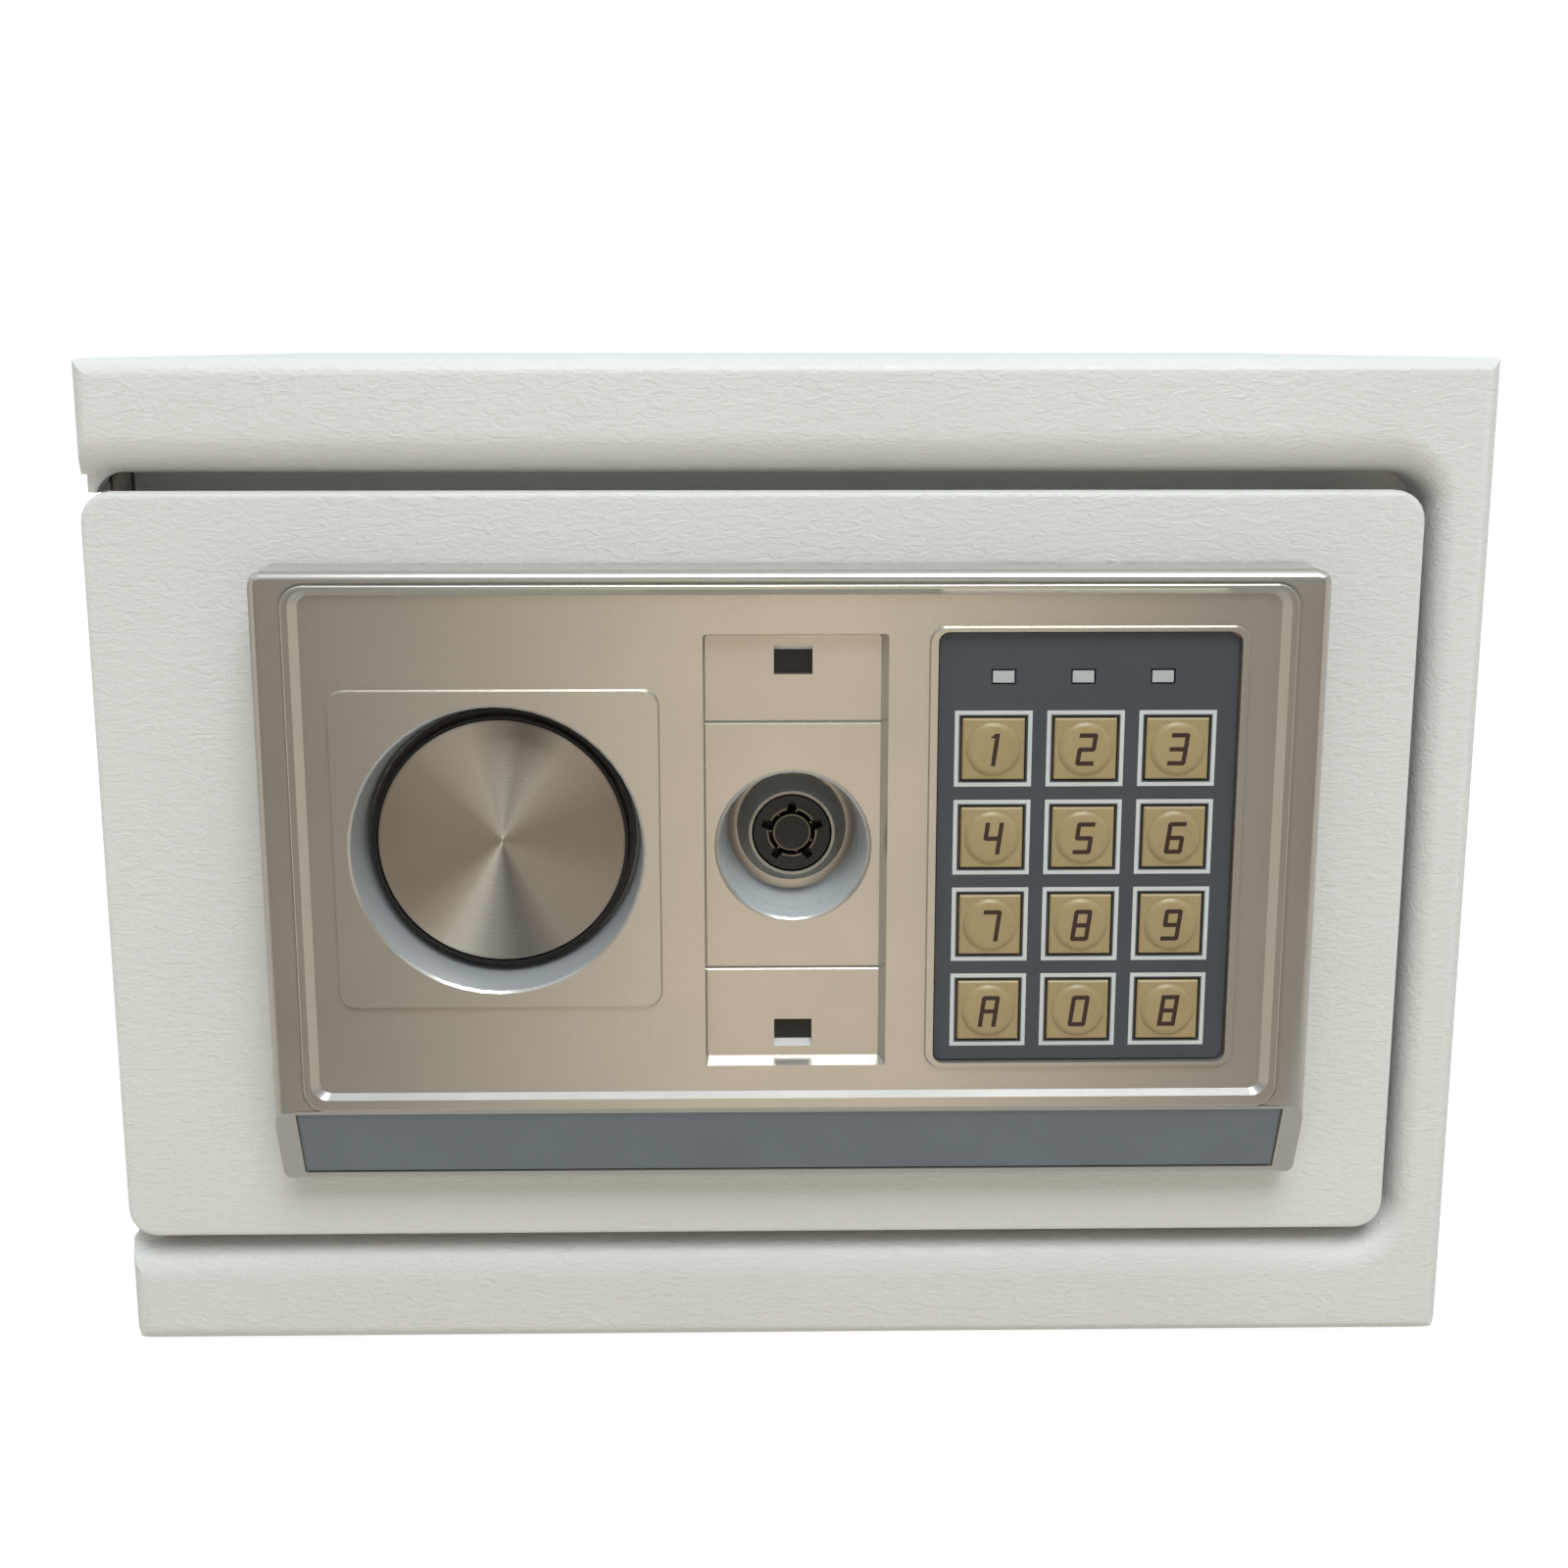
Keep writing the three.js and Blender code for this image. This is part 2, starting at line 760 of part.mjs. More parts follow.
function bodyShell() {
  const hollow = bodyBox(sheet, bodyDepth + reach).subtract(recess(sheet));
  const aperture = slab(
    rectangle(apertureLeft, apertureBottom, apertureRight, apertureTop, apertureCornerRadius),
    recessDepth - 1,
    recessDepth + sheet + 1,
    2,
  );
  let shell = cut(bodyBox(0, bodyDepth), hollow, recess(0), hingeRelief(), aperture);
  for (const side of [-1, 1]) {
    const x = (side * floorAnchorSpacing) / 2;
    shell = shell.subtract(turnedZ(rod(anchorRadius, -1, sheet + 1), x, bodyDepth / 2));
  }
  const pinHole = pinRadius + seat;
  for (const [low, high] of [
    [railFlat - railRoll, recessBottom + hingeCornerRadius],
    [recessTop - hingeCornerRadius, bodyHeight - railFlat + railRoll],
  ]) {
    shell = shell.subtract(turnedZ(rod(pinHole, low, high), hingeX, hingeY));
  }
  return shell;
}

function backPanel() {
  const inset = sheet + seat;
  const outline = rectangle(
    -bodyWidth / 2 + inset,
    inset,
    bodyWidth / 2 - inset,
    bodyHeight - inset,
    bodyBottomCornerRadius - sheet,
  );
  const hole = rod(anchorRadius, bodyDepth - sheet - 1, bodyDepth + 1);
  let plate = slab(outline, bodyDepth - sheet, bodyDepth);
  for (const side of [-1, 1]) {
    plate = plate.subtract(turnedY(hole, (side * backAnchorSpacing) / 2, bodyHeight / 2));
  }
  return plate;
}

// Steel angle behind the front flange, with a square hole for each bolt
function boltKeeper() {
  const bottom = boltZ - boltSpacing / 2 - boltRadius - keeperMargin;
  const top = boltZ + boltSpacing / 2 + boltRadius + keeperMargin;
  const section = polygon([
    [keeperX, keeperY],
    [keeperX + keeperFoot, keeperY],
    [keeperX + keeperFoot, keeperY + keeperThickness],
    [keeperX + keeperThickness, keeperY + keeperThickness],
    [keeperX + keeperThickness, keeperY + keeperDepth],
    [keeperX, keeperY + keeperDepth],
  ]);
  const half = boltRadius + boltHoleClearance;
  let keeper = planSection(section, bottom, top);
  for (const side of [-1, 1]) {
    const z = boltZ + (side * boltSpacing) / 2;
    const hole = polygon([
      [boltY - half, z - half],
      [boltY + half, z - half],
      [boltY + half, z + half],
      [boltY - half, z + half],
    ]);
    keeper = keeper.subtract(sideSection(hole, keeperX - 1, keeperX + keeperThickness + 1));
  }
  return keeper;
}

// One pin with its head, drawn for the top of the door and turned over for the bottom
function hingePin() {
  const seatZ = recessTop + bracketRise + bracketThickness + seat;
  const tip = doorTop - knuckleDrop - pinBite;
  return turnedZ(
    [
      [0, tip],
      [pinRadius - 0.5, tip],
      [pinRadius, tip + 0.5],
      [pinRadius, seatZ],
      [pinHeadRadius, seatZ],
      [pinHeadRadius, seatZ + pinHeadThickness],
      [0, seatZ + pinHeadThickness],
    ],
    0,
    0,
    12,
  );
}

function hingeBracket() {
  const left = -bodyWidth / 2 + sheet + seat;
  const front = hingeY - pinRadius - bracketMargin;
  const bottom = recessTop + bracketRise;
  const right = left + bracketLength;
  const back = front + bracketDepth;
  const outline = rectangle(left, front, right, back, [0, 0, bracketCornerRadius, 0]);
  const top = bottom + bracketThickness;
  const hole = turnedZ(rod(pinRadius + seat, bottom - 1, top + 1), hingeX, hingeY, 12);
  return planSection(outline, bottom, top).subtract(hole);
}

// A block welded to the door's back with a round nose and a bore for the pin
function hingeKnuckle() {
  const top = doorTop - knuckleDrop;
  const outline = new THREE.Shape();
  outline.moveTo(-knuckleRadius, mountY - hingeY);
  outline.lineTo(knuckleRadius, mountY - hingeY);
  outline.absarc(0, 0, knuckleRadius, 0, Math.PI, false);
  outline.closePath();
  const block = planSection(outline, top - knuckleLength, top, 6);
  return block.subtract(turnedZ(rod(pinRadius + seat, top - knuckleLength - 1, top + 1), 0, 0, 12));
}

// Adds a piece at the top of the door's edge and its mirror image at the bottom
function hingePair(group, name, shape, finish, x = 0, y = 0) {
  const upper = piece(group, name + "_upper", shape, finish, x, y);
  const lower = upper.clone();
  lower.name = name + "_lower";
  lower.geometry = surface(shape.mirror([0, 0, 1]));
  lower.position.z = bodyHeight;
  lower.material = finish.clone();
  group.add(lower);
}

function doorPosts() {
  const left = coverLeft + postInset;
  const right = coverRight - postInset;
  return [
    [left, coverTop - postInset],
    [right, coverTop - postInset + rightPostOffset],
    [right, coverBottom + postInset - rightPostOffset],
    [left, boxBottom + batteryBoxHeight() + batteryPostGap + postRadius],
  ];
}

function circuitPosts() {
  const x = circuitWidth / 2 - standoffInset;
  const z = circuitHeight / 2 - standoffInset;
  return [
    [circuitX - x, circuitZ - z],
    [circuitX + x, circuitZ - z],
    [circuitX + x, circuitZ + z],
    [circuitX - x, circuitZ + z],
  ];
}

function doorPlate() {
  const outline = rectangle(doorLeft, doorBottom, doorRight, doorTop, doorCornerRadius);
  let plate = roundedSlab(outline, doorFront, doorBack, doorEdgeRadius);
  for (const [x, z] of doorPosts()) {
    const end = coverBack - sheet - seat;
    const post = turnedY(rod(postRadius, doorBack - 1, end), x, z, 12);
    plate = plate.add(post).subtract(turnedY(rod(postBore, end - screwLength - 1, end + 1), x, z, 10));
  }
  for (const [x, z] of circuitPosts()) {
    plate = plate.add(turnedY(rod(standoffRadius, doorBack - 1, circuitFront - seat), x, z, 10));
  }
  return cut(
    plate,
    turnedY(rod(shaftRadius + bushWall + seat, doorFront - 1, doorBack + 1), knobX, knobZ, 20),
    turnedY(rod(funnelTubeRadius + seat, doorFront - 1, doorBack + 1), lockX, lockZ, 32),
    slab(
      centred(connectorX, connectorZ, connectorWidth + 1, connectorHeight + 1),
      doorFront - 1,
      doorBack + 1,
    ),
  );
}

// The panel's side view: rounded top edge, flat face, and the chin sloping back below the crease
function panelSide(front, top, bottom, foot, edge) {
  const shape = new THREE.Shape();
  shape.moveTo(panelBack, bottom);
  shape.lineTo(foot + edge / 2, bottom);
  shape.lineTo(foot, bottom + edge / 2);
  shape.lineTo(front, crease);
  shape.lineTo(front, top - edge);
  if (edge > 0) shape.absarc(front + edge, top - edge, edge, Math.PI, Math.PI / 2, true);
  shape.lineTo(panelBack, top);
  shape.closePath();
  return shape;
}

function panelBlock() {
  const edge = panelEdgeRadius;
  const low = panelFootCornerRadius;
  const high = panelHeadCornerRadius;
  const outline = rectangle(-panelRight, panelBottom, panelRight, panelTop, [low, low, high, high]);
  const frontView = slab(outline, ridgeFront, panelBack);
  const sideView = sideSection(
    panelSide(panelFront, panelTop, panelBottom, chinFoot, edge),
    -panelRight - 1,
    panelRight + 1,
    3,
  );
  const plan = rectangle(-panelRight, panelFront, panelRight, panelBack, [edge, edge, 0, 0]);
  return frontView.intersect(sideView).intersect(planSection(plan, panelBottom - 1, panelTop + 1, 3));
}

// The ridge's outline, moved inwards by a distance for its sides, its top and its foot
function ridgeOutline(sides, top, chin) {
  return rectangle(
    -panelRight + ridgeSides.inset + sides,
    crease + ridgeChin.inset + chin,
    panelRight - ridgeSides.inset - sides,
    panelTop - ridgeTop.inset - top,
    ridgeCornerRadius - Math.min(sides, top),
  );
}

// Raised ridge around the field with a groove outside it, and the field sunk inside it
function withRidge(block) {
  const groove = loft([
    ringAt(ridgeOutline(-grooveWidth, -grooveWidth, 0), panelFront - 0.01),
    ringAt(ridgeOutline(0, 0, 0), panelFront + grooveDepth),
  ]);
  const ridge = slab(ridgeOutline(0, 0, 0), ridgeFront, field + 1);
  const inner = (share) =>
    ridgeOutline(...[ridgeSides, ridgeTop, ridgeChin].map((side) => side.width + side.slope * share));
  const beyond = 1 / (ridgeHeight + fieldSink);
  const hollow = loft([ringAt(inner(-beyond), ridgeFront - 1), ringAt(inner(1), field)]);
  return block.subtract(groove).add(ridge).subtract(hollow);
}

// Hollow back of the panel
function panelCavity() {
  const wall = panelWall;
  const outline = rectangle(
    -panelRight + wall,
    panelBottom + wall,
    panelRight - wall,
    panelTop - wall,
  );
  const side = polygon([
    [panelBack + 1, panelBottom + wall],
    [chinFoot + wall, panelBottom + wall],
    [field + wall, crease + 0.5],
    [field + wall, panelTop - wall],
    [panelBack + 1, panelTop - wall],
  ]);
  const frontView = slab(outline, panelFront, panelBack + 1, 1);
  return frontView.intersect(sideSection(side, -panelRight, panelRight));
}

function bossPlaces() {
  const x = panelRight - bossInset;
  return [
    [-x, panelBottom + bossInset],
    [x, panelBottom + bossInset],
    [x, panelTop - bossInset],
    [-x, panelTop - bossInset],
  ];
}

// What stays solid behind the panel's face: the knob well's tube, the lock column's back,
// the ledge that holds the keypad and the screw bosses
function panelInside() {
  const back = panelBack + 1;
  const kept = [
    turnedY(rod(wellRimRadius + wellWall, field, back), knobX, knobZ, 32),
    slab(
      rectangle(
        lockX - columnWidth / 2 - columnSurround,
        columnBottom - columnSurround,
        lockX + columnWidth / 2 + columnSurround,
        columnTop + columnSurround,
      ),
      field,
      columnBack,
    ),
    slab(
      centred(keypadX, keypadZ, overlayWidth + 2 * ledgeSurround, overlayHeight + 2 * ledgeSurround),
      field,
      ledgeBack,
    ),
  ];
  for (const [x, z] of bossPlaces()) {
    kept.push(turnedY(rod(bossRadius, field, back), x, z, 12));
  }
  return joined(...kept);
}

// The lock column's sunk plate, with a different draft on each side
function columnRecess() {
  const left = lockX - columnWidth / 2;
  const right = lockX + columnWidth / 2;
  const outline = (spread) =>
    rectangle(
      left - columnLeftDraft * spread,
      columnBottom - columnBottomDraft * spread,
      right + columnRightDraft * spread,
      columnTop + columnTopDraft * spread,
      [0.2, 0.2, columnCornerRadius, columnCornerRadius],
    );
  const beyond = 1;
  return loft([
    ringAt(outline(1 + beyond / columnSink), field - beyond, 2),
    ringAt(outline(0), columnFloor, 2),
  ]);
}

// A blind pocket for a cover's clip, with the outer end wall sloped
function clipPocket(towards, inner) {
  const outer = inner + towards * clipHeight;
  const bottomInner = columnFloor + clipDepth;
  const points = [
    [columnFloor - 1, inner],
    [bottomInner, inner],
    [bottomInner, outer - towards * clipSlope],
    [columnFloor, outer],
    [columnFloor - 1, outer],
  ];
  if (towards < 0) points.reverse();
  return sideSection(polygon(points), lockX - clipWidth / 2, lockX + clipWidth / 2);
}

// A fine V groove across the column
function columnLine(z) {
  const profile = polygon([
    [columnFloor - 0.01, z + lineWidth / 2],
    [columnFloor - 0.01, z - lineWidth / 2],
    [columnFloor + lineDepth, z],
  ]);
  return sideSection(profile, lockX - columnWidth / 2, lockX + columnWidth / 2);
}

// Radius of the lock's well at a distance behind the body's front
function funnelRadius(y) {
  const draft = (funnelRimRadius - funnelFootRadius) / (funnelDepth - funnelLip);
  return funnelFootRadius + draft * (funnelFloor - y);
}

// The front of the lock's well, with a round rim, cut through the column's plate
function funnel() {
  const profile = [
    [0, columnFloor - 1],
    [funnelRimRadius + funnelLip, columnFloor - 1],
  ];
  const steps = 3;
  for (let i = 0; i <= steps; i++) {
    const angle = (i / steps) * (Math.PI / 2);
    profile.push([
      funnelRimRadius + funnelLip * (1 - Math.sin(angle)),
      columnFloor + funnelLip * (1 - Math.cos(angle)),
    ]);
  }
  profile.push([funnelRadius(columnBack + 1), columnBack + 1], [0, columnBack + 1]);
  return turnedY(profile, lockX, lockZ, 32);
}

// The rest of the well: a tube that reaches back through the door, with a floor for the lock
function lockWell() {
  const front = columnBack + funnelJointGap;
  return turnedY(
    [
      [funnelRadius(front), front],
      [funnelTubeRadius, front],
      [funnelTubeRadius, funnelFloorBack],
      [lockBodyRadius + seat, funnelFloorBack],
      [lockBodyRadius + seat, funnelFloor],
      [funnelFootRadius, funnelFloor],
    ],
    lockX,
    lockZ,
    32,
  );
}

function knobWell() {
  const depth = panelBack - knobPlateFront;
  const taper = (wellRimRadius - wellFootRadius) / depth;
  return turnedY(
    [
      [0, knobPlateFront - 1],
      [wellRimRadius + wellChamfer + taper, knobPlateFront - 1],
      [wellRimRadius + wellChamfer, knobPlateFront],
      [wellRimRadius, knobPlateFront + wellChamfer],
      [wellFootRadius - taper, panelBack + 1],
      [0, panelBack + 1],
    ],
    knobX,
    knobZ,
    48,
  );
}

// A low raised plate with sloped edges on the panel's field
function raised(x, z, width, height, rise, radius) {
  return loft([
    ringAt(centred(x, z, width - rise, height - rise, radius), field - rise),
    ringAt(centred(x, z, width + rise, height + rise, radius), field + 1),
  ]);
}

// The shape of the strip on the chin, between two distances behind the chin's face
function stripBand(from, to, margin) {
  const slope = new THREE.Vector2(crease - panelBottom, panelFront - chinFoot).normalize();
  const inward = new THREE.Vector2(slope.x, -slope.y);
  const along = (z) => panelFront + ((crease - z) * chinSetback) / chinHeight;
  const low = panelBottom + stripFoot - margin;
  const high = crease - stripMargin + margin;
  const corner = (z, depth) => [along(z) + depth * inward.x, z + depth * inward.y];
  const side = polygon([corner(low, to), corner(high, to), corner(high, from), corner(low, from)]);
  const half = panelRight - stripInset + margin;
  return sideSection(side, -half, half);
}

function panelBezel() {
  let bezel = withRidge(panelBlock());
  bezel = bezel.subtract(panelCavity().subtract(panelInside()));
  bezel = joined(
    bezel,
    raised(knobX, knobZ, knobPlateSize, knobPlateSize, knobPlateHeight, knobPlateCornerRadius),
    raised(keypadX, keypadZ, rimWidth, rimHeight, rimRise, rimCornerRadius),
  );
  const openingWidth = overlayWidth - 2 * ledge;
  const openingHeight = overlayHeight - 2 * ledge;
  const pocket = centred(
    keypadX,
    keypadZ,
    overlayWidth + 2 * seat,
    overlayHeight + 2 * seat,
    overlayCornerRadius + seat,
  );
  bezel = cut(
    bezel,
    knobWell(),
    columnRecess(),
    funnel(),
    columnLine(lockZ + lineOffset),
    columnLine(lockZ - lineOffset),
    clipPocket(1, columnTop - clipInset - clipHeight),
    clipPocket(-1, columnBottom + clipInset + clipHeight),
    slab(pocket, rimFront - 1, ledgeFront, 2),
    slab(
      centred(keypadX, keypadZ, openingWidth, openingHeight, 1),
      ledgeFront - 1,
      ledgeBack + 1,
      1,
    ),
    stripBand(-1, stripThickness + seat, seat),
  );
  for (const [x, z] of bossPlaces()) {
    bezel = bezel.subtract(turnedY(rod(bossBore, panelBack - bossBoreDepth, panelBack + 1), x, z, 10));
  }
  return bezel;
}

function keyPlaces() {
  const names = ["1", "2", "3", "4", "5", "6", "7", "8", "9", "a", "0", "b"];
  return names.map((name, i) => ({
    name,
    x: keyBlockX + ((i % 3) - 1) * keyColumnPitch,
    z: keyBlockZ + (1.5 - Math.floor(i / 3)) * keyRowPitch,
  }));
}

function lightPlaces() {
  return [-1, 0, 1].map((i) => lightX + i * lightPitch);
}

function keypadOverlay() {
  const outline = centred(keypadX, keypadZ, overlayWidth, overlayHeight, overlayCornerRadius);
  let overlay = slab(outline, overlayFront, overlayBack, 2);
  for (const { x, z } of keyPlaces()) {
    const hole = centred(x, z, keySize + 2 * seat, keySize + 2 * seat);
    overlay = overlay.subtract(slab(hole, overlayFront - 1, overlayBack + 1));
  }
  for (const x of lightPlaces()) {
    const hole = centred(x, lightZ, lightWidth + 2 * seat, lightHeight + 2 * seat);
    overlay = overlay.subtract(slab(hole, overlayFront - 1, overlayBack + 1));
  }
  return overlay;
}

// Three lenses on one bar behind the overlay
function lightBar() {
  const front = overlayBack + seat;
  const width = 2 * lightPitch + lightWidth + 2 * lightBarMargin;
  const height = lightHeight + 2 * lightBarMargin;
  let bar = slab(centred(lightX, lightZ, width, height), front, front + lightBarThickness);
  for (const x of lightPlaces()) {
    bar = bar.add(slab(centred(x, lightZ, lightWidth, lightHeight), overlayFront, front + 0.5));
  }
  return bar;
}

// One key, drawn around its own middle: domed cap, body, flange behind the overlay and a stem
function keyCap() {
  const capFront = overlayFront - keyProud;
  const flangeFront = overlayBack + seat;
  const cap = roundedSlab(centred(0, 0, keySize, keySize), capFront, flangeFront + 0.1, 0.25, 1, 1);
  const dome = turnedY(
    [
      [0, capFront - keyDomeHeight],
      [keyDomeRadius - 0.35, capFront - keyDomeHeight],
      [keyDomeRadius, capFront - keyDomeHeight + 0.2],
      [keyDomeRadius, capFront + 0.5],
      [0, capFront + 0.5],
    ],
    0,
    0,
    16,
  );
  const flange = slab(
    centred(0, 0, keyFlangeSize, keyFlangeSize),
    flangeFront,
    flangeFront + keyFlangeThickness,
  );
  const stemEnd = keypadBoardFront - keyTravel - 0.2;
  const stem = turnedY(rod(keyStemRadius, flangeFront + 0.1, stemEnd), 0, 0, 6);
  return joined(cap, dome, flange, stem);
}

// Switch board with the plug on its back that reaches through the door to the main board
function keypadBoard() {
  const outline = centred(keypadX, keypadZ, overlayWidth + 1, overlayHeight + 1, 1);
  const back = keypadBoardFront + boardThickness;
  const plug = centred(connectorX, connectorZ, connectorWidth, connectorHeight);
  return joined(
    slab(outline, keypadBoardFront, back, 1),
    slab(plug, back - boardThickness / 2, circuitFront - seat),
  );
}

// Main board with its parts fused to it
function circuitBoard() {
  const back = circuitFront + boardThickness;
  let board = slab(centred(circuitX, circuitZ, circuitWidth, circuitHeight, 1), circuitFront, back, 1);
  for (const [x, z, width, height, rise] of boardParts) {
    const outline = centred(circuitX + x, circuitZ + z, width, height);
    board = board.add(slab(outline, back - 0.5, back + rise));
  }
  const capacitor = rod(capacitorRadius, back - 0.5, back + capacitorRise);
  for (const [x, z] of capacitorPlaces) {
    board = board.add(turnedY(capacitor, circuitX + x, circuitZ + z, 10));
  }
  return board;
}

function bezelStrip() {
  return stripBand(stripSink, stripThickness, 0);
}

// Knob: a flange that fills the well's foot, a body and a seat for the brushed disc
function knobBody() {
  const flangeFront = knobBack - knobFlangeThickness;
  return turnedY(
    [
      [0, discSeat],
      [discRadius + seat, discSeat],
      [discRadius + seat, knobFace],
      [knobRadius - 0.2, knobFace],
      [knobRadius, knobFace + 0.4],
      [knobRadius, flangeFront],
      [knobFlangeRadius, flangeFront],
      [knobFlangeRadius, knobBack],
      [shaftRadius + seat, knobBack],
      [shaftRadius + seat, boreEnd],
      [0, boreEnd],
    ],
    knobX,
    knobZ,
    40,
  );
}

function knobDisc() {
  const back = knobFace + discThickness;
  return turnedY(
    [
      [0, knobFace + discDish],
      [discRadius - 0.3, knobFace],
      [discRadius, knobFace + 0.2],
      [discRadius, back],
      [0, back],
    ],
    knobX,
    knobZ,
    40,
  );
}

function shaftBush() {
  const outer = shaftRadius + bushWall;
  return turnedY(
    [
      [shaftRadius + seat, doorFront],
      [outer, doorFront],
      [outer, mountY],
      [outer + bushFlange, mountY],
      [outer + bushFlange, mountY + bushFlangeThickness],
      [shaftRadius + seat, mountY + bushFlangeThickness],
    ],
    knobX,
    knobZ,
    20,
  );
}

// Shaft with its crank, which points down and to the left with the bolts drawn back
function knobShaft() {
  const shaft = turnedY(rod(shaftRadius, boreEnd + seat, crankY + 1), knobX, knobZ, 20);
  const pinEnd = plateY + plateThickness + crankPinRise;
  const arm = joined(
    slab(circle(0, 0, crankWidth / 2 + 1), crankY, crankY + crankThickness, 8),
    slab(rectangle(-crankWidth / 2, -crankRadius, crankWidth / 2, 0), crankY, crankY + crankThickness),
    slab(circle(0, -crankRadius, crankWidth / 2), crankY, crankY + crankThickness, 8),
    turnedY(rod(crankPinRadius, crankY + 1, pinEnd), 0, -crankRadius, 12),
  );
  return shaft.add(arm.rotate([0, crankHalfTurn, 0]).translate([knobX, 0, knobZ]));
}

// Horizontal slot with round ends, for a stud that stays while the carriage runs past it
function runSlot(x, z) {
  const half = studRadius + slotClearance;
  return slab(
    rectangle(x - boltThrow - half, z - half, x + half, z + half, half - 0.01),
    plateY - 1,
    plateY + plateThickness + 1,
    3,
  );
}

// Carriage plate: a bar with a slot for the crank's pin, a notch round the lock and a stop tab,
// and a head that folds back to hold the two bolts
function boltCarriage() {
  const back = plateY + plateThickness;
  const headBottom = boltZ - boltSpacing / 2 - carriageHeadMargin;
  const headTop = boltZ + boltSpacing / 2 + carriageHeadMargin;
  const tabRight = solenoidX - plungerRadius - (boltThrow - tabWidth - 2 * plungerRadius) / 2;
  const corner = carriageCornerRadius;
  const corners = [corner, 0, 0, corner];
  const headLeft = carriageRight - carriageHeadWidth;
  const bar = slab(
    rectangle(carriageLeft, carriageBottom, carriageRight, carriageTop, corners),
    plateY,
    back,
  );
  const headPlate = slab(
    rectangle(headLeft, headBottom, carriageRight, headTop, corners),
    plateY,
    back,
  );
  const fold = slab(
    rectangle(carriageRight - plateThickness, headBottom, carriageRight, headTop),
    plateY,
    boltY + boltRadius,
  );
  const tab = slab(
    polygon([
      [tabRight - tabWidth - 1, carriageTop - 1],
      [tabRight, carriageTop - 1],
      [tabRight, carriageTop + tabHeight - tabRamp],
      [tabRight - tabRamp, carriageTop + tabHeight],
      [tabRight - tabWidth, carriageTop + tabHeight],
    ]),
    plateY,
    back,
  );
  const pinX = knobX - crankRadius * Math.sin(crankTurn);
  const slotHalf = crankPinRadius + slotClearance;
  const pinHigh = knobZ - crankRadius * Math.cos(crankTurn) + slotHalf + seat;
  const pinLow = knobZ - crankRadius - slotHalf - seat;
  const crankSlot = rectangle(
    pinX - slotHalf,
    pinLow,
    pinX + slotHalf,
    pinHigh,
    slotHalf - 0.01,
  );
  const lockHalf = lockBodyRadius + lockNotchGap;
  const lockNotch = rectangle(
    lockX - boltThrow - lockHalf,
    lockZ - lockHalf,
    lockX + lockHalf,
    carriageTop + 1,
    [corner, corner, 0, 0],
  );
  return cut(
    joined(bar, headPlate, fold, tab),
    slab(crankSlot, plateY - 1, back + 1, 3),
    slab(lockNotch, plateY - 1, back + 1),
    runSlot(leftStudX, studZ),
    runSlot(rightStudX, studZ),
  );
}

function lockingBolt() {
  return turnedX(
    [
      [0, 0],
      [boltRadius, 0],
      [boltRadius, boltLength - boltTipRadius],
      [boltRadius - boltTipRadius * 0.3, boltLength - boltTipRadius * 0.3],
      [boltRadius - boltTipRadius, boltLength],
      [0, boltLength],
    ],
    0,
    0,
    20,
  );
}

// Angle on the door's back that the bolts slide through
function boltGuide() {
  const bottom = boltZ - boltSpacing / 2 - boltRadius - guideMargin;
  const top = boltZ + boltSpacing / 2 + boltRadius + guideMargin;
  const back = boltY + boltRadius + guideRim;
  const section = polygon([
    [guideX, mountY],
    [guideX + guideFoot, mountY],
    [guideX + guideFoot, mountY + guideThickness],
    [guideX + guideThickness, mountY + guideThickness],
    [guideX + guideThickness, back],
    [guideX, back],
  ]);
  let guide = planSection(section, bottom, top);
  for (const side of [-1, 1]) {
    const hole = rod(boltRadius + seat, guideX - 1, guideX + guideThickness + 1);
    guide = guide.subtract(turnedX(hole, boltY, boltZ + (side * boltSpacing) / 2));
  }
  return guide;
}

function guideStud() {
  const headFront = plateY + plateThickness + seat;
  return turnedY(
    [
      [0, mountY],
      [studFootRadius, mountY],
      [studFootRadius, plateY - seat],
      [studRadius, plateY - seat],
      [studRadius, headFront],
      [studHeadRadius, headFront],
      [studHeadRadius, headFront + studHeadThickness],
      [0, headFront + studHeadThickness],
    ],
    0,
    0,
    14,
  );
}

function solenoidFrame() {
  const channel = polygon([
    [mountY, solenoidBottom],
    [solenoidReach, solenoidBottom],
    [solenoidReach, solenoidBottom + solenoidPlate],
    [mountY + solenoidPlate, solenoidBottom + solenoidPlate],
    [mountY + solenoidPlate, solenoidTop - solenoidPlate],
    [solenoidReach, solenoidTop - solenoidPlate],
    [solenoidReach, solenoidTop],
    [mountY, solenoidTop],
  ]);
  const frame = sideSection(channel, solenoidX - solenoidWidth / 2, solenoidX + solenoidWidth / 2);
  const hole = rod(plungerRadius + seat, solenoidBottom - 1, solenoidBottom + solenoidPlate + 1);
  return frame.subtract(turnedZ(hole, solenoidX, solenoidY));
}

function solenoidCoil() {
  const low = solenoidBottom + solenoidPlate + seat;
  const high = solenoidTop - solenoidPlate - seat;
  const bore = plungerRadius + seat;
  return turnedZ(
    [
      [bore, low],
      [coilRadius, low],
      [coilRadius, low + 1],
      [coilRadius - 0.8, low + 1],
      [coilRadius - 0.8, high - 1],
      [coilRadius, high - 1],
      [coilRadius, high],
      [bore, high],
    ],
    solenoidX,
    solenoidY,
  );
}

